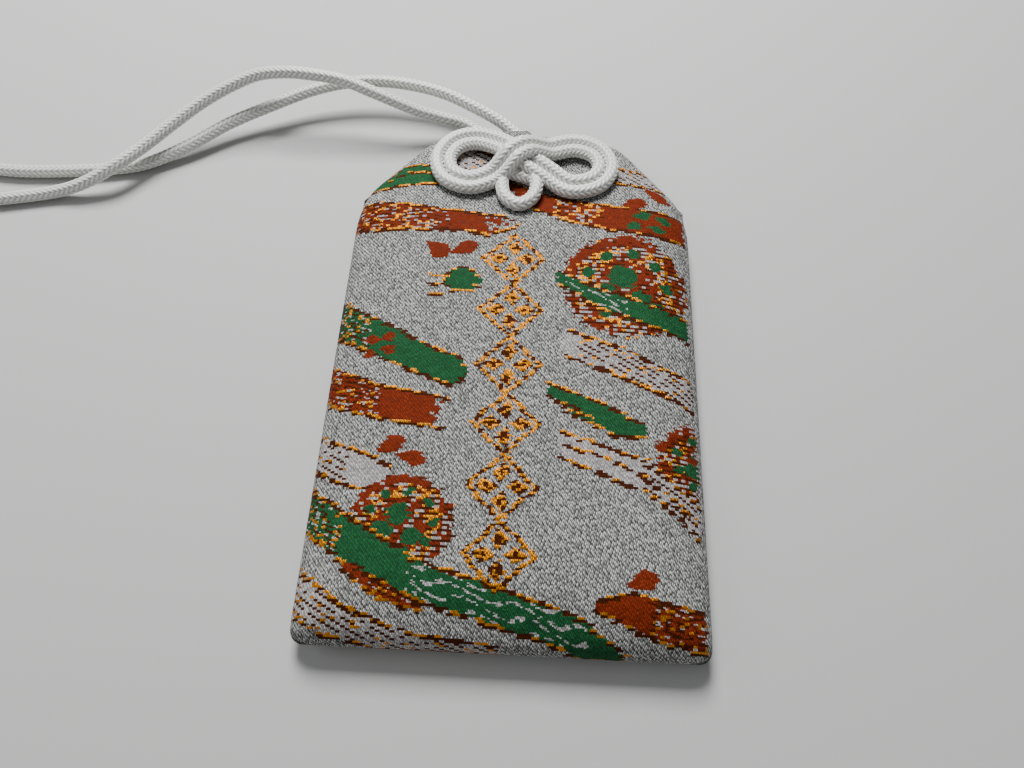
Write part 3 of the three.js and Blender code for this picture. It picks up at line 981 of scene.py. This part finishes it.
@dataclass(frozen=True)
class Band:
    """A slanting band of mist between two lines, filled in its own way over a span."""

    top: tuple[Point2, ...]
    bottom: tuple[Point2, ...]
    yarn: Yarn
    fill: Fill = Fill.SOLID
    span: Point2 = (-30.0, 30.0)
    fray: float = 0.0
    fray_past: float = 0.1

    def paint(self, canvas: Canvas) -> None:
        """Weave the band, its inside and its outlines."""
        upper, lower = canvas.level(self.top), canvas.level(self.bottom)
        first = min(self.top[0][0], self.bottom[0][0])
        last = max(self.top[-1][0], self.bottom[-1][0])
        inside = (canvas.x >= first) & (canvas.x <= last) & (canvas.y <= upper) & (canvas.y >= lower)
        if self.fray > 0.0:
            loose = ease(canvas.x, last - self.fray, last + self.fray_past * self.fray)
            inside &= canvas.luck(9.0) > loose
        canvas.weave(inside, self.yarn)
        filled = inside & (canvas.x >= self.span[0]) & (canvas.x <= self.span[1])
        self.fill.weave(canvas, filled, canvas.y - lower)
        Dashes(self.top).paint(canvas)
        Dashes(self.bottom).paint(canvas)


@dataclass(frozen=True)
class Petal:
    """A single fallen petal, pointed at one end. A higher power makes it blunter along or across."""

    centre: Point2
    length: float = 2.9
    width: float = 2.0
    angle: float = 20.0
    yarn: Yarn = Yarn.ORANGE
    powers: Point2 = (1.05, 1.35)
    taper: float = 0.3

    def paint(self, canvas: Canvas) -> None:
        """Weave the petal."""
        turn = math.radians(self.angle)
        dx, dy = canvas.x - self.centre[0], canvas.y - self.centre[1]
        along = (dx * math.cos(turn) + dy * math.sin(turn)) / (self.length / 2.0)
        across = (dy * math.cos(turn) - dx * math.sin(turn)) / (self.width / 2.0)
        reach = np.abs(along) ** self.powers[0] + np.abs(across) ** self.powers[1]
        canvas.weave(reach < 1.0 - self.taper * along, self.yarn)


@dataclass(frozen=True)
class Roundel:
    """A round flower: a streaked disc with an orange crown, a ring of dots and a green heart.

    Its inner sizes are shares of its radius, and brown, white and gold are shares of the disc's floats.
    """

    centre: Point2
    radii: Point2
    rim: float = 0.90
    rim_fray: float = 0.10
    brown: float = 0.8
    white: float = 0.48
    gold: float = 0.07
    crown_from: float = 0.76
    crown_turn: float = 2.0
    crown_half: float = 0.95
    crown_share: float = 0.88
    dots: int = 9
    dot_ring: float = 0.60
    dot_size: float = 0.095
    ring_half: float = 0.13
    ring_gold: float = 0.22
    core: float = 0.46
    core_share: float = 0.5
    heart_fray: float = 0.05
    heart: tuple[Point3, ...] = ((-0.06, 0.14, 0.19), (-0.32, -0.17, 0.15), (0.19, -0.29, 0.16))

    def paint(self, canvas: Canvas) -> None:
        """Weave the flower from its outside in."""
        dx = (canvas.x - self.centre[0]) / self.radii[0]
        dy = (canvas.y - self.centre[1]) / self.radii[1]
        r, angle = np.hypot(dx, dy), np.arctan2(dy, dx)
        disc = r < self.rim + self.rim_fray * canvas.luck(7.0)
        even = canvas.row % 2.0 == 0.0
        canvas.weave(disc, Yarn.ORANGE)
        canvas.weave(disc & even & (canvas.luck(1.0) < self.brown), Yarn.BROWN)
        canvas.weave(disc & ~even & (canvas.luck(2.0) < self.white), Yarn.WHITE)
        canvas.weave(disc & (canvas.luck(3.0) < self.gold), Yarn.GOLD)
        crown = disc & (r > self.crown_from) & (np.abs(angle - self.crown_turn) < self.crown_half)
        canvas.weave(crown & (canvas.luck(4.0) < self.crown_share), Yarn.ORANGE)
        ring = np.abs(r - self.dot_ring) < self.ring_half
        canvas.weave(ring & (canvas.luck(5.0) < self.ring_gold), Yarn.GOLD)
        for k in range(self.dots):
            turn = 2.0 * math.pi * k / self.dots
            away = np.hypot(dx - self.dot_ring * math.cos(turn), dy - self.dot_ring * math.sin(turn))
            canvas.weave(away < self.dot_size, Yarn.GREEN)
        canvas.weave((r < self.core) & (canvas.luck(6.0) < self.core_share), Yarn.ORANGE)
        for x, y, size in self.heart:
            edge = size + self.heart_fray * canvas.luck(8.0)
            canvas.weave(np.hypot(dx - x, dy - y) < edge, Yarn.GREEN)


@dataclass(frozen=True)
class LozengeFlower:
    """A small diamond flower of gold floats. Its inner sizes are shares of its half width."""

    centre: Point2
    half_width: float = 3.5
    half_height: float = 3.4
    petal_place: float = 0.5
    petal_slim: float = 1.4
    petal_size: float = 0.40
    petal_heart: float = 0.12
    frame_place: float = 1.1
    frame_half: float = 0.11
    gold: float = 0.6

    def paint(self, canvas: Canvas) -> None:
        """Weave four diamond petals in a diamond frame, dark with gold floats."""
        dx = np.abs(canvas.x - self.centre[0]) / self.half_width
        dy = np.abs(canvas.y - self.centre[1]) / self.half_height
        beside = np.abs(dx - self.petal_place) + dy * self.petal_slim
        above = dx * self.petal_slim + np.abs(dy - self.petal_place)
        petal = np.minimum(beside, above)
        shape = (petal < self.petal_size) | (np.abs(dx + dy - self.frame_place) < self.frame_half)
        canvas.weave(shape, Yarn.BROWN)
        canvas.weave(shape & (petal > self.petal_heart) & (canvas.luck(1.0) < self.gold), Yarn.GOLD)


@dataclass(frozen=True)
class BrocadeDesign:
    """The whole pattern: mist bands, round flowers, petals and a column of diamond flowers."""

    plain_edge: float = 21.6
    column_x: float = -0.7
    column_top: float = 11.6
    column_pitch: float = 7.6
    column_count: int = 6
    motifs: tuple[Motif, ...] = (
        Band(
            ((-23, 22.6), (-19.5, 25.6), (-16.6, 28.1), (-11.7, 27.4), (-8, 27.6)),
            ((-23, 22.0), (-20.7, 23.3), (-15.0, 23.6), (-11.9, 23.9), (-8, 24.6)),
            Yarn.GREEN,
        ),
        Dashes(((-18.8, 24.9), (-16.0, 26.4), (-12.6, 25.9))),
        Band(
            ((-10, 31.0), (-6, 30.6), (-3, 29.2)),
            ((-10, 26.4), (-6, 25.6), (-3, 26.4)),
            Yarn.WHITE,
            Fill.SCALES,
        ),
        Band(
            ((-23, 21.0), (-19.8, 20.7), (-11.0, 19.4), (-2.4, 18.5), (-0.2, 17.2)),
            ((-23, 16.4), (-19.1, 15.9), (-6.9, 15.7), (-4.3, 15.3), (-0.2, 17.0)),
            Yarn.ORANGE,
            Fill.STREAKS,
            span=(-23.0, -9.5),
            fray=6.5,
        ),
        Band(
            ((-2.7, 25.8), (2.2, 22.8), (9.1, 21.3), (18.5, 20.6), (23, 20.4)),
            ((-2.7, 24.5), (0.7, 20.4), (6.2, 18.2), (11.6, 17.0), (18.5, 16.4), (23, 16.4)),
            Yarn.ORANGE,
            Fill.FLECKS,
            span=(4.2, 10.6),
        ),
        Petal((16.2, 19.7), 2.4, 1.6, 10.0, Yarn.GREEN),
        Petal((19.0, 19.1), 2.2, 1.5, -20.0, Yarn.GREEN),
        Petal((15.0, 17.9), 2.2, 1.4, 25.0, Yarn.GREEN),
        Petal((18.0, 17.5), 2.2, 1.4, -10.0, Yarn.GREEN),
        Petal((15.4, 21.9), 3.5, 2.2, 15.0),
        Petal((18.6, 23.5), 3.7, 2.3, -35.0),
        Band(
            ((11.0, 27.6), (13.0, 28.6), (18.5, 28.2)),
            ((11.0, 26.2), (13.0, 25.2), (19.5, 25.3)),
            Yarn.WHITE,
            Fill.SCALES,
        ),
        Petal((-10.1, 12.3), 3.6, 2.7, -35.0),
        Petal((-6.7, 13.2), 3.6, 2.3, 25.0),
        Band(
            ((-9.8, 8.3), (-8.0, 9.9), (-6.0, 9.8), (-4.7, 8.2)),
            ((-9.8, 8.0), (-8.4, 6.6), (-6.0, 6.4), (-4.7, 7.8)),
            Yarn.GREEN,
        ),
        Dashes(((-11.4, 8.7), (-8.6, 8.5))),
        Dashes(((-11.2, 7.2), (-9.0, 7.3))),
        Dashes(((-11.2, 6.0), (-9.2, 5.9))),
        Roundel((13.6, 8.4), (8.4, 8.0)),
        Band(
            ((4.8, 10.0), (10.7, 7.6), (17.1, 5.6), (23, 4.3)),
            ((4.8, 8.2), (10.7, 4.7), (17.1, 2.7), (23, 1.3)),
            Yarn.GREEN,
            Fill.WAVES,
            span=(6.0, 13.5),
        ),
        Band(
            ((-23, 5.9), (-19.5, 3.6), (-15.5, 1.3), (-10.9, -1.3), (-6.5, -2.9), (-5.4, -4.6)),
            ((-23, 0.6), (-19.5, -1.4), (-16.7, -3.0), (-12.6, -4.8), (-7.0, -6.7), (-5.4, -5.2)),
            Yarn.GREEN,
            Fill.STREAKS,
            span=(-23.0, -18.0),
        ),
        Petal((-17.2, -0.8), 1.9, 1.4, 0.0),
        Petal((-15.2, -0.4), 1.9, 1.4, 20.0),
        Petal((-15.0, -2.3), 1.9, 1.4, -20.0),
        Petal((-17.4, -2.6), 1.7, 1.2, 30.0),
        Band(
            ((6.2, 1.8), (13.3, -0.8), (23, -4.7)),
            ((5.7, -1.9), (13.2, -4.8), (23, -8.2)),
            Yarn.WHITE,
            Fill.SCALES,
            span=(7.6, 23.0),
        ),
        Band(
            ((-23, -3.4), (-19.5, -5.4), (-15.4, -7.0), (-7.6, -8.3)),
            ((-23, -8.3), (-19.5, -10.1), (-15.5, -11.2), (-7.5, -12.2)),
            Yarn.ORANGE,
            Fill.STREAKS,
            span=(-23.0, -15.5),
            fray=2.5,
        ),
        Band(
            ((4.1, -5.8), (9.8, -7.8), (15.5, -10.6)),
            ((4.1, -7.2), (8.2, -10.3), (12.0, -12.0), (15.5, -12.2)),
            Yarn.GREEN,
        ),
        Dashes(((5.4, -8.0), (9.6, -10.2))),
        Roundel((23.2, -14.4), (7.0, 5.2)),
        Band(
            ((5.5, -11.7), (10.8, -13.4), (15.1, -14.8), (20.4, -18.5), (23, -20.6)),
            ((5.5, -15.0), (14.9, -18.4), (18.2, -20.5), (23, -24.4)),
            Yarn.WHITE,
            Fill.SCALES,
            span=(15.0, 23.0),
        ),
        Dashes(((6.2, -13.4), (12.0, -15.2), (16.5, -17.6), (20.5, -20.6))),
        Band(
            ((-23, -12.8), (-17.0, -15.2), (-13.1, -17.0)),
            ((-23, -17.0), (-16.9, -19.8), (-13.1, -19.0)),
            Yarn.WHITE,
            Fill.SCALES,
            span=(-23.0, -18.4),
        ),
        Petal((-13.1, -14.2), 3.5, 2.2, 30.0),
        Petal((-10.6, -16.0), 3.3, 2.1, -10.0),
        Roundel((-11.4, -23.2), (6.0, 5.6)),
        Band(
            ((-17.4, -27.4), (-13.0, -28.2), (-8.4, -30.6)),
            ((-17.4, -28.2), (-13.0, -31.4), (-8.4, -32.4)),
            Yarn.ORANGE,
            Fill.STREAKS,
            span=(-14.5, -8.4),
        ),
        Band(
            ((-23, -18.8), (-18.0, -22.3), (-9.6, -27.2), (0.8, -29.9), (8.8, -32.6), (13.3, -35.9)),
            ((-23, -24.2), (-17.2, -27.6), (-8.6, -31.5), (1.0, -33.8), (9.8, -36.4), (13.3, -37.0)),
            Yarn.GREEN,
            Fill.WAVES,
            span=(-10.0, 9.0),
        ),
        Band(
            ((-23, -18.8), (-18.0, -22.3)),
            ((-23, -24.2), (-18.0, -27.2)),
            Yarn.GREEN,
            Fill.STREAKS,
        ),
        Band(
            ((-23, -28.0), (-16.5, -32.1), (-9.3, -34.6), (0.0, -35.4)),
            ((-23, -32.2), (-19.1, -35.0), (-9.0, -36.6), (0.0, -36.8)),
            Yarn.WHITE,
            Fill.SCALES,
        ),
        Band(
            ((9.8, -30.6), (13.8, -29.6), (17.8, -30.5), (23, -31.3)),
            ((9.8, -31.6), (15.7, -33.8), (19.5, -34.9), (23, -34.8)),
            Yarn.ORANGE,
            Fill.STREAKS,
            span=(15.5, 23.0),
        ),
        Petal((15.3, -28.2), 3.4, 2.4, 20.0),
    )

    def paint(self, canvas: Canvas, ornament: bool) -> None:
        """Weave the pattern.

        Args:
            canvas: The cloth.
            ornament: Whether the column of diamond flowers is woven too.
        """
        for motif in self.motifs:
            motif.paint(canvas)
        canvas.weave(canvas.x > self.plain_edge, Yarn.GROUND)
        if ornament:
            for k in range(self.column_count):
                LozengeFlower((self.column_x, self.column_top - k * self.column_pitch)).paint(canvas)


class Face(Enum):
    """The pouch's two panels: the name of the node and the way it swells."""

    FRONT = ("front_panel", 1.0)
    BACK = ("back_panel", -1.0)


@dataclass(frozen=True)
class Settling:
    """How the front settles as cloth: stride of its coarse mesh, scale, time and the cloth's build."""

    stride: tuple[int, int] = (12, 7)
    scale: float = 10.0
    frames: int = 20
    cap: float = 0.5
    quality: int = 6
    mass: float = 0.15
    stiffness: float = 25.0
    shear: float = 8.0
    bending: float = 1.5
    pressure: float = 0.3
    growth: float = 0.002
    rim: float = 1.2
    knot_hold: float = 2.6

    def apply(self, piece: bpy.types.Object, held: np.ndarray) -> np.ndarray:
        """Run the cloth.

        Args:
            piece: The coarse cloth.
            held: Which of its points stay where they are.

        Returns:
            Where its points come to rest, in the piece's own units.
        """
        group = piece.vertex_groups.new(name="held")
        group.add(np.nonzero(held)[0].tolist(), 1.0, "REPLACE")
        cloth = piece.modifiers.new("settle", "CLOTH")
        cloth.settings.quality = self.quality
        cloth.settings.mass = self.mass
        cloth.settings.tension_stiffness = self.stiffness
        cloth.settings.compression_stiffness = self.stiffness
        cloth.settings.shear_stiffness = self.shear
        cloth.settings.bending_stiffness = self.bending
        cloth.settings.use_pressure = True
        cloth.settings.uniform_pressure_force = self.pressure
        cloth.settings.shrink_min = -self.growth
        cloth.settings.effector_weights.gravity = 0.0
        cloth.settings.vertex_group_mass = group.name
        cloth.collision_settings.use_self_collision = False
        cloth.point_cache.frame_start = 1
        cloth.point_cache.frame_end = self.frames
        for frame in range(1, self.frames + 1):
            bpy.context.scene.frame_set(frame)
        settled = piece.evaluated_get(bpy.context.evaluated_depsgraph_get()).data
        found = np.empty(len(settled.vertices) * 3, np.float32)
        settled.vertices.foreach_get("co", found)
        bpy.context.scene.frame_set(1)
        return found.reshape(-1, 3)


@dataclass
class Pouch:
    """The brocade pouch: two swelling panels that meet in a rim, with the cord's mouth at the top."""

    design: BrocadeDesign = field(default_factory=BrocadeDesign)
    half_width: float = 22.5
    half_height: float = 36.0
    top_half_width: float = 13.0
    top_bow: float = 1.5
    shoulder_drop: float = 12.0
    corner_radius: float = 1.6
    shoulder_ease: float = 0.4
    shoulder_reach: float = 2.6
    seam_z: float = 2.25
    front_top: float = 5.8
    reach: float = 7.0
    neck_length: float = 22.0
    neck_fall: float = 0.35
    softness: float = 0.7
    mouth: Point2 = (-8.9, 1.5)
    mouth_depth: float = 3.0
    mouth_lift: float = 1.15
    mouth_ease: float = 1.6
    mouth_lip: float = 0.6
    knot: Point2 = (-0.6, 27.5)
    knot_press: float = 0.35
    knot_spread: Point2 = (5.0, 3.0)
    front_cell: Point2 = (0.26, 0.145)
    back_cell: Point2 = (0.39, 0.29)
    relief_fade: Point2 = (0.1, 1.5)
    tone_range: Point2 = (0.85, 1.15)
    fill: float = 0.55
    settling: Settling = field(default_factory=Settling)

    def top_line(self, x: np.ndarray) -> np.ndarray:
        """Give the outline's upper edge: the bowed top and the two shoulders."""
        bow = self.half_height - self.top_bow * np.abs(x) / self.top_half_width
        foot = self.half_height - self.top_bow - self.shoulder_drop
        rise = self.shoulder_drop / (self.half_width - self.top_half_width)
        shoulder = foot + (self.half_width - np.abs(x)) * rise
        return -self.softness * np.logaddexp(-bow / self.softness, -shoulder / self.softness)

    def side_limit(self, y: np.ndarray) -> np.ndarray:
        """Give the outline's half width, which eases in at the bottom corners and the shoulders."""
        lift = np.clip(self.corner_radius - (y + self.half_height), 0.0, None)
        pull = self.corner_radius - np.sqrt(np.clip(self.corner_radius**2 - lift**2, 0.0, None))
        foot = self.half_height - self.top_bow - self.shoulder_drop
        return self.half_width - pull - self.shoulder_ease * np.exp(-(((y - foot) / self.shoulder_reach) ** 2))

    def edge_distance(self, x: np.ndarray, y: np.ndarray) -> np.ndarray:
        """Give each point's distance from the outline, eased where two edges meet."""
        reach = np.abs(x)
        slope = np.hypot(self.half_width - self.top_half_width, self.shoulder_drop)
        foot = self.half_height - self.top_bow - self.shoulder_drop
        shoulder = (self.half_width - reach) * self.shoulder_drop
        shoulder = (shoulder + (foot - y) * (self.half_width - self.top_half_width)) / slope
        bow = np.hypot(self.top_half_width, self.top_bow)
        top = (self.half_height - y) * self.top_half_width - reach * self.top_bow
        near = [y + self.half_height, self.side_limit(y) - reach, shoulder, top / bow]
        total = sum(np.exp(-np.clip(d, 0.0, None) / self.softness) for d in near)
        eased = -self.softness * np.log(total)
        return np.clip(np.minimum(eased + 0.02, np.minimum.reduce(near)), 0.0, None)

    def crown(self, distance: np.ndarray) -> np.ndarray:
        """Give the swell's share of its full height at a distance from the outline."""
        short = 1.0 - np.clip(distance / self.reach, 0.0, 1.0)
        return np.sqrt(np.clip(1.0 - short**2, 0.0, 1.0))

    def laid_out(self, half: float, rise: float, cell: float) -> np.ndarray:
        """Space threads evenly over the swell from edge to edge.

        Args:
            half: Half the pouch's size in that direction.
            rise: The swell's height.
            cell: The distance between threads, measured on the cloth.

        Returns:
            The place of each thread seen from above.
        """
        turn = np.linspace(0.0, math.pi / 2.0, 200)
        inset = self.reach * (1.0 - np.cos(turn))
        climb = rise * np.sin(turn)
        arc = np.concatenate([[0.0], np.cumsum(np.hypot(np.diff(inset), np.diff(climb)))])
        length = 2.0 * (arc[-1] + half - self.reach)
        walk = np.linspace(0.0, length, int(round(length / cell)) + 1)
        edge = np.minimum(walk, length - walk)
        place = np.where(edge < arc[-1], np.interp(edge, arc, inset), edge - arc[-1] + self.reach)
        return np.where(walk < length / 2.0, place - half, half - place)

    def sheet(self, face: Face, cell: Point2) -> np.ndarray:
        """Lay out one panel's threads in space.

        Args:
            face: Which panel.
            cell: The distance between threads, across the panel and along it.

        Returns:
            Points in millimetres by row and column.
        """
        rise = self.front_top - self.seam_z if face is Face.FRONT else self.seam_z
        x, y = np.meshgrid(
            self.laid_out(self.half_width, rise, cell[0]),
            self.laid_out(self.half_height, rise, cell[1]),
        )
        limit = self.side_limit(y)
        x = np.clip(x, -limit, limit)
        top = self.top_line(x)
        rim = (np.abs(x) >= limit) | (y >= top)
        y = np.minimum(y, top)
        share = np.where(rim, 0.0, self.crown(self.edge_distance(x, y)))
        neck = 1.0 - self.neck_fall * ease(y, self.half_height - self.neck_length, self.half_height)
        if face is Face.BACK:
            neck = np.ones_like(y)
        z = rise * share * neck
        left, right = self.mouth
        window = ease(x, left, left + self.mouth_ease) * (1.0 - ease(x, right - self.mouth_ease, right))
        tunnel = window * ease(y, self.half_height - self.mouth_depth, self.half_height - self.mouth_lip)
        z = np.maximum(z, tunnel * self.mouth_lift)
        return np.stack([x, y, self.seam_z + face.value[1] * z], axis=2)

    def pressed(self, points: np.ndarray) -> np.ndarray:
        """Press the front in under the knot."""
        wide, high = self.knot_spread
        away = np.hypot((points[..., 0] - self.knot[0]) / wide, (points[..., 1] - self.knot[1]) / high)
        result = points.copy()
        result[..., 2] -= self.knot_press * np.exp(-(away**2))
        return result

    def relaxed(self, points: np.ndarray) -> np.ndarray:
        """Let the front settle as a cloth that is held at its rim and under the knot.

        Args:
            points: The panel by row and column, in millimetres.

        Returns:
            How far each point moves, in millimetres.
        """
        cloth = self.settling
        rows, columns = (
            np.unique(np.append(np.arange(0, size, stride), size - 1))
            for size, stride in zip(points.shape, cloth.stride)
        )
        coarse = points[np.ix_(rows, columns)]
        flat, place = np.unique(np.round(coarse.reshape(-1, 3), 4), axis=0, return_inverse=True)
        place = place.ravel()
        faces = [list(dict.fromkeys(corners)) for corners in place[grid_faces(coarse)].tolist()]
        piece = mesh_piece("settling_cloth", flat * cloth.scale, [face for face in faces if len(face) > 2])
        held = self.edge_distance(flat[:, 0], flat[:, 1]) < cloth.rim
        held |= np.hypot(flat[:, 0] - self.knot[0], flat[:, 1] - self.knot[1]) < cloth.knot_hold
        moved = (cloth.apply(piece, held) / (MM * cloth.scale) - flat)[place].reshape(coarse.shape)
        bpy.data.objects.remove(piece)
        reach = np.linalg.norm(moved, axis=2, keepdims=True)
        moved /= np.sqrt(1.0 + (reach / cloth.cap) ** 2)
        LOG.info("pouch: the front settled by up to %.2f mm", float(np.linalg.norm(moved, axis=2).max()))
        across = np.stack(
            [
                [np.interp(np.arange(points.shape[1]), columns, line[:, axis]) for axis in range(3)]
                for line in moved
            ]
        )
        along = np.empty(points.shape)
        for axis in range(3):
            for column in range(points.shape[1]):
                along[:, column, axis] = np.interp(np.arange(points.shape[0]), rows, across[:, axis, column])
        return along

    def panel(self, face: Face) -> bpy.types.Object:
        """Make one panel with its woven pattern.

        Args:
            face: Which panel.

        Returns:
            The panel as an object.
        """
        front = face is Face.FRONT
        cell = self.front_cell if front else self.back_cell
        points = self.sheet(face, cell)
        if front:
            points = self.pressed(points)
            points = points + self.relaxed(points)
        middle = (points[:-1, :-1] + points[1:, :-1] + points[:-1, 1:] + points[1:, 1:]) / 4.0
        canvas = Canvas(middle[..., 0], middle[..., 1], cell)
        self.design.paint(canvas, ornament=front)
        heights = np.array([yarn.value[3] for yarn in Yarn])[canvas.yarn]
        weight = np.zeros(points.shape[:2])
        raised = np.zeros(points.shape[:2])
        for down in (slice(None, -1), slice(1, None)):
            for over in (slice(None, -1), slice(1, None)):
                raised[down, over] += heights
                weight[down, over] += 1.0
        edge = ease(self.edge_distance(points[..., 0], points[..., 1]), *self.relief_fade)
        points[..., 2] = np.maximum(points[..., 2] + face.value[1] * edge * raised / weight, 0.0)
        faces = grid_faces(points)
        if not front:
            faces = faces[:, ::-1]
        piece = mesh_piece(f"{face.value[0]}_brocade", points.reshape(-1, 3), faces.tolist())
        self.thread(piece, points.shape[1], canvas, cell)
        return piece

    def thread(self, piece: bpy.types.Object, columns: int, canvas: Canvas, cell: Point2) -> None:
        """Give every face of a panel its yarn's colour and its place among the threads.

        Args:
            piece: The panel.
            columns: How many points one row has.
            canvas: The woven pattern.
            cell: The distance between threads.
        """
        mesh = piece.data
        corner = np.empty(len(mesh.loops), np.int32)
        mesh.loops.foreach_get("vertex_index", corner)
        corners = corner.reshape(-1, 4)
        first = corners.min(axis=1)
        row, column = first // columns, first % columns
        woven = canvas.yarn[row, column]
        tone = np.array([(*yarn.value[1], yarn.value[2]) for yarn in Yarn])
        colours = tone[woven]
        low, high = self.tone_range
        colours[:, :3] *= low + (high - low) * speckle(column // 2, row // 2, 11.0)[:, None]
        # each yarn's depth of painted shade between the floats
        depth = np.array([yarn.value[4] for yarn in Yarn])[woven]
        seeds = mesh.attributes.new("seed_shade_depth", "FLOAT", "FACE")
        seeds.data.foreach_set("value", depth.astype(np.float32))
        layer = mesh.attributes.new("yarn_colour", "FLOAT_COLOR", "CORNER")
        layer.data.foreach_set("color", np.repeat(colours, 4, axis=0).astype(np.float32).ravel())
        places = np.stack([corner % columns * cell[0], corner // columns * cell[1]], axis=1)
        uv = mesh.uv_layers.new(name="threads")
        uv.data.foreach_set("uv", places.astype(np.float32).ravel())

    def dress(self, material: bpy.types.Material) -> None:
        """Build both panels.

        Args:
            material: The brocade's finish.
        """
        for face in Face:
            piece = self.panel(face)
            piece.data.materials.append(material)
            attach(piece, "bag")
            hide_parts(face.value[0])
            LOG.info("pouch: %s, %d faces", piece.name, len(piece.data.polygons))


def grid_faces(points: np.ndarray) -> np.ndarray:
    """List the faces of a grid of points, leaving out those that have no area.

    Args:
        points: Points by row and column.

    Returns:
        One row of four point numbers for each face.
    """
    rows, columns = points.shape[:2]
    first = (np.arange(rows - 1)[:, None] * columns + np.arange(columns - 1)[None, :]).ravel()
    quads = np.stack([first, first + 1, first + columns + 1, first + columns], axis=1)
    flat = points.reshape(-1, 3)
    one = flat[quads[:, 2]] - flat[quads[:, 0]]
    two = flat[quads[:, 3]] - flat[quads[:, 1]]
    area = np.linalg.norm(np.cross(one, two), axis=1) / 2.0
    return quads[area > LEAST_AREA]


@dataclass
class Insides:
    """What the pouch holds: linings, seams, card and the wrapped slip."""

    lining: PlainFinish = PlainFinish("lining", (0.84, 0.82, 0.76), (0.76, 0.74, 0.68), 0.85, 900.0, 0.02)
    thread: PlainFinish = PlainFinish("seam_thread", (0.86, 0.86, 0.84), (0.72, 0.72, 0.70), 0.6, 6000.0, 0.02)
    card: PlainFinish = PlainFinish("card", (0.50, 0.42, 0.31), (0.42, 0.34, 0.25), 0.9, 1200.0, 0.02)
    paper: PlainFinish = PlainFinish("paper", (0.88, 0.85, 0.76), (0.80, 0.77, 0.68), 0.9, 700.0, 0.01)
    wood: WoodFinish = field(default_factory=WoodFinish)

    def dress(self, nodes: dict[str, bpy.types.Object]) -> None:
        """Give each inner node its finish.

        Args:
            nodes: The CAD nodes by name.
        """
        wear = {
            self.lining: ("front_lining", "back_lining"),
            self.thread: ("left_seam", "right_seam", "bottom_seam"),
            self.card: ("core_card",),
            self.paper: ("slip_wrapper",),
            self.wood: ("talisman_slip",),
        }
        for finish, names in wear.items():
            material = finish.material()
            for name in names:
                mesh = nodes[name].data
                mesh.materials.clear()
                mesh.materials.append(material)
                LOG.info("inside: %s in %s", name, finish.name)


@dataclass(frozen=True)
class Lamp:
    """A soft square lamp that points at the charm: its place and side in millimetres, and its power."""

    name: str
    place: Point3
    size: float
    watts: float

    def hang(self) -> None:
        """Hang the lamp in its place."""
        light = bpy.data.lights.new(self.name, "AREA")
        light.size = self.size * MM
        light.energy = self.watts
        lamp = bpy.data.objects.new(self.name, light)
        lamp.location = Vector(self.place) * MM
        lamp.rotation_mode = "QUATERNION"
        lamp.rotation_quaternion = (Vector((0.0, 0.0, 0.0)) - lamp.location).to_track_quat("-Z", "Y")
        bpy.context.scene.collection.objects.link(lamp)


@dataclass
class Studio:
    """A pale table, soft light from behind and above, and the camera."""

    focal_pixels: float = 770.0
    image_width: float = 1024.0
    sensor: float = 36.0
    target: Point3 = (-0.22, -4.6, 3.0)
    distance: float = 94.24
    azimuth: float = -1.88
    elevation: float = 64.24
    roll: float = 0.98
    table_colour: Colour = (0.42, 0.424, 0.415)
    table_roughness: float = 0.75
    table_half: float = 900.0
    room_colour: Colour = (0.95, 0.98, 1.0)
    room_light: float = 0.2
    lamps: tuple[Lamp, ...] = (
        Lamp("window_behind", (-40.0, 220.0, 250.0), 120.0, 2.45),
        Lamp("left_fill", (-420.0, 40.0, 300.0), 260.0, 0.5),
        Lamp("front_fill", (40.0, -380.0, 180.0), 260.0, 0.25),
    )

    def camera(self) -> None:
        """Set the camera at the photograph's place."""
        az, el, roll = (math.radians(a) for a in (self.azimuth, self.elevation, self.roll))
        forward = Vector((math.sin(az) * math.cos(el), math.cos(az) * math.cos(el), -math.sin(el)))
        level = Vector((math.cos(az), -math.sin(az), 0.0))
        upward = level.cross(forward)
        right = level * math.cos(roll) + upward * math.sin(roll)
        up = upward * math.cos(roll) - level * math.sin(roll)
        place = Vector(self.target) - forward * self.distance
        lens = bpy.data.cameras.new("camera")
        lens.sensor_width = self.sensor
        lens.sensor_fit = "HORIZONTAL"
        lens.lens = self.sensor * self.focal_pixels / self.image_width
        lens.clip_start = 0.005
        camera = bpy.data.objects.new("camera", lens)
        frame = Matrix((right, up, -forward)).transposed().to_4x4()
        frame.translation = place * MM
        camera.matrix_world = frame
        bpy.context.scene.collection.objects.link(camera)
        bpy.context.scene.camera = camera

    def table(self) -> None:
        """Lay the table top."""
        half = self.table_half
        corners = np.array([(-half, -half, 0.0), (half, -half, 0.0), (half, half, 0.0), (-half, half, 0.0)])
        top = mesh_piece("table_top", corners, [[0, 1, 2, 3]], smooth=False)
        sketch = NodeSketch("table_top")
        sketch.set(Base_Color=rgba(self.table_colour), Roughness=self.table_roughness)
        top.data.materials.append(sketch.material)

    def build(self) -> None:
        """Set up the table, the light and the camera."""
        self.camera()
        self.table()
        for lamp in self.lamps:
            lamp.hang()
        world = bpy.data.worlds.new("room")
        world.use_nodes = True
        room = world.node_tree.nodes["Background"]
        room.inputs["Color"].default_value = rgba(self.room_colour)
        room.inputs["Strength"].default_value = self.room_light
        bpy.context.scene.world = world


def main() -> None:
    """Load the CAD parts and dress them."""
    logging.basicConfig(level=logging.INFO, format="%(name)s %(message)s")
    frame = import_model()
    Studio().build()
    cord = CordFinish().material()
    Strap().dress(cord)
    BowKnot().dress(cord)
    Pouch().dress(BrocadeFinish().material())
    Insides().dress(frame["nodes"])
    LOG.info("charm: boxes written")


if __name__ == "__main__":
    main()
